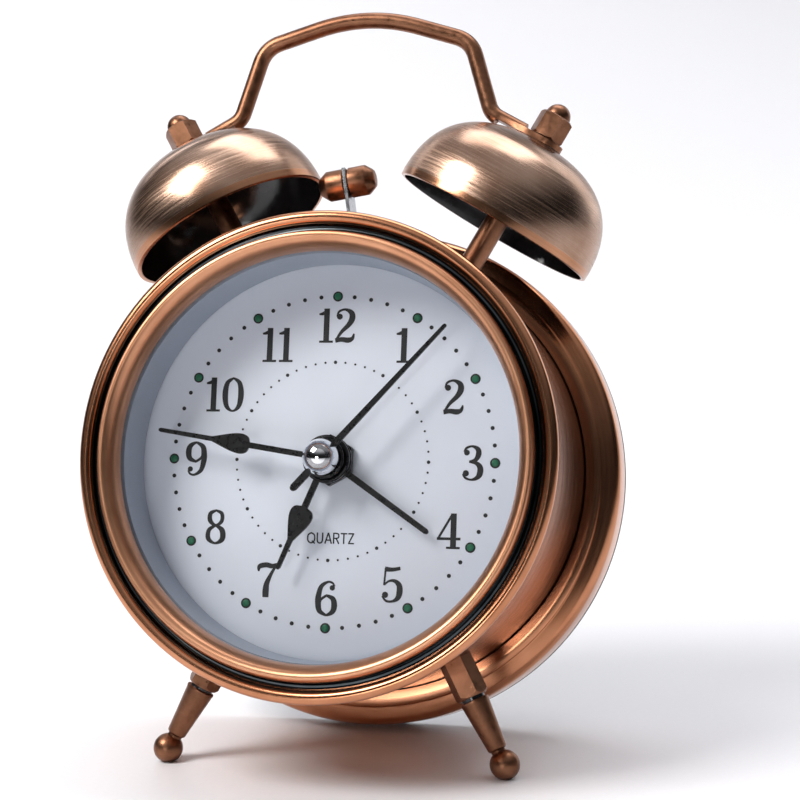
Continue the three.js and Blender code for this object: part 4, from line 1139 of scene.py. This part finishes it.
# ---- Stage -----------------------------------------------------------------------------------------
def make_floor():
    bm = bmesh.new()
    depth = [(-3.0, 0), (0.35, 0)]
    for i in range(1, 33):
        angle = math.radians(90 * i / 32)
        depth.append((0.35 + 1.6 * math.sin(angle), 1.6 - 1.6 * math.cos(angle)))
    depth.append((1.95, 3.0))
    rows = [[bm.verts.new((x, y, z)) for x in (-3.5, 3.5)] for y, z in depth]
    for a, b in zip(rows, rows[1:]):
        bm.faces.new((a[0], a[1], b[1], b[0]))
    floor = as_object(bm, "floor")
    for polygon in floor.data.polygons:
        polygon.use_smooth = True
    paint = Paint("floor_paper", (0.86, 0.86, 0.885), 0.42)
    fine = paint.noise(paint.point(), 900, 2, 0.5)
    paint.feed("Base Color", paint.ramp(fine, [(0.3, (0.85, 0.85, 0.878)), (0.7, (0.87, 0.87, 0.895))]))
    floor.data.materials.append(paint.material)
    return floor


def area_light(name, place, target, size, power, color=(1, 1, 1)):
    data = bpy.data.lights.new(name, "AREA")
    data.shape = "RECTANGLE"
    data.size, data.size_y = size
    data.energy = power
    data.color = color
    light = bpy.data.objects.new(name, data)
    bpy.context.scene.collection.objects.link(light)
    look = Vector(target) - Vector(place)
    light.matrix_world = Matrix.Translation(place) @ look.to_track_quat("-Z", "Y").to_matrix().to_4x4()
    return light


def make_lights():
    area_light("key", (-0.55, -0.50, 0.85), (0, 0, 0.08), (0.5, 0.5), 11.0, (1, 0.99, 0.97))
    area_light("strip", (0.62, 0.9, 0.5), (0.1, 0.02, 0.08), (0.5, 0.9), 1.6)
    area_light("top", (0.1, 0.45, 1.25), (0, 0.1, 0.0), (1.1, 0.7), 9.0, (0.98, 0.985, 1))
    area_light("front", (-0.15, -1.4, 0.18), (0, 0, 0.08), (0.35, 0.25), 2.0)
    area_light("paper", (-0.9, 0.9, 0.9), (-0.6, 1.6, 0.1), (0.8, 0.8), 5.0)
    world = bpy.data.worlds.new("studio")
    bpy.context.scene.world = world
    world.use_nodes = True
    nodes, links = world.node_tree.nodes, world.node_tree.links
    place = nodes.new("ShaderNodeTexCoord")
    split = nodes.new("ShaderNodeSeparateXYZ")
    ramp = nodes.new("ShaderNodeValToRGB")
    links.new(place.outputs["Generated"], split.inputs[0])
    height = nodes.new("ShaderNodeMapRange")
    links.new(split.outputs["Z"], height.inputs["Value"])
    height.inputs["From Min"].default_value = -1
    links.new(height.outputs["Result"], ramp.inputs["Fac"])
    stops = [(0.0, 0.5), (0.48, 0.4), (0.51, 0.02), (0.68, 0.03), (0.76, 0.25), (0.86, 0.8), (1.0, 1.0)]
    elements = ramp.color_ramp.elements
    while len(elements) < len(stops):
        elements.new(0.5)
    for element, (at, level) in zip(elements, stops):
        element.position = at
        element.color = (level, level, level * 1.03, 1)
    links.new(ramp.outputs["Color"], nodes["Background"].inputs["Color"])
    nodes["Background"].inputs["Strength"].default_value = 0.55


def make_camera():
    yaw, pitch, roll = math.radians(13.822), math.radians(-6.64), math.radians(2.035)
    ahead = Vector((-math.sin(yaw) * math.cos(pitch), math.cos(yaw) * math.cos(pitch), -math.sin(pitch)))
    right = Vector((math.cos(yaw), math.sin(yaw), 0))
    up = right.cross(ahead)
    across = right * math.cos(roll) + up * math.sin(roll)
    upward = up * math.cos(roll) - right * math.sin(roll)
    spot = (across * 14.78 + upward * 13.15 - ahead * 434.78) * MM
    turn = Matrix((across, upward, -ahead)).transposed().to_4x4()
    data = bpy.data.cameras.new("camera")
    data.lens = 90.47
    data.sensor_width = 36
    data.clip_start = 0.01
    camera = bpy.data.objects.new("camera", data)
    bpy.context.scene.collection.objects.link(camera)
    camera.matrix_world = CLOCK @ Matrix.Translation(spot) @ turn
    bpy.context.scene.camera = camera


def paint_frame():
    slots = {row["node"]: row["material_slot"] for row in frame["record"]["subparts"]}
    for name, node in frame["nodes"].items():
        paint = SLOT_PAINT[slots[name]]
        if not node.material_slots:
            node.data.materials.append(paint)
        for place in node.material_slots:
            place.material = paint


paint_frame()
make_case()
make_front()
make_printing()
make_hands()
for which, label in ((-1, "left"), (1, "right")):
    make_bell(which, label)
    make_leg(which, label)
make_handle()
make_hammer()
make_back()
make_floor()
make_lights()
make_camera()
bpy.context.scene.view_settings.view_transform = "Standard"
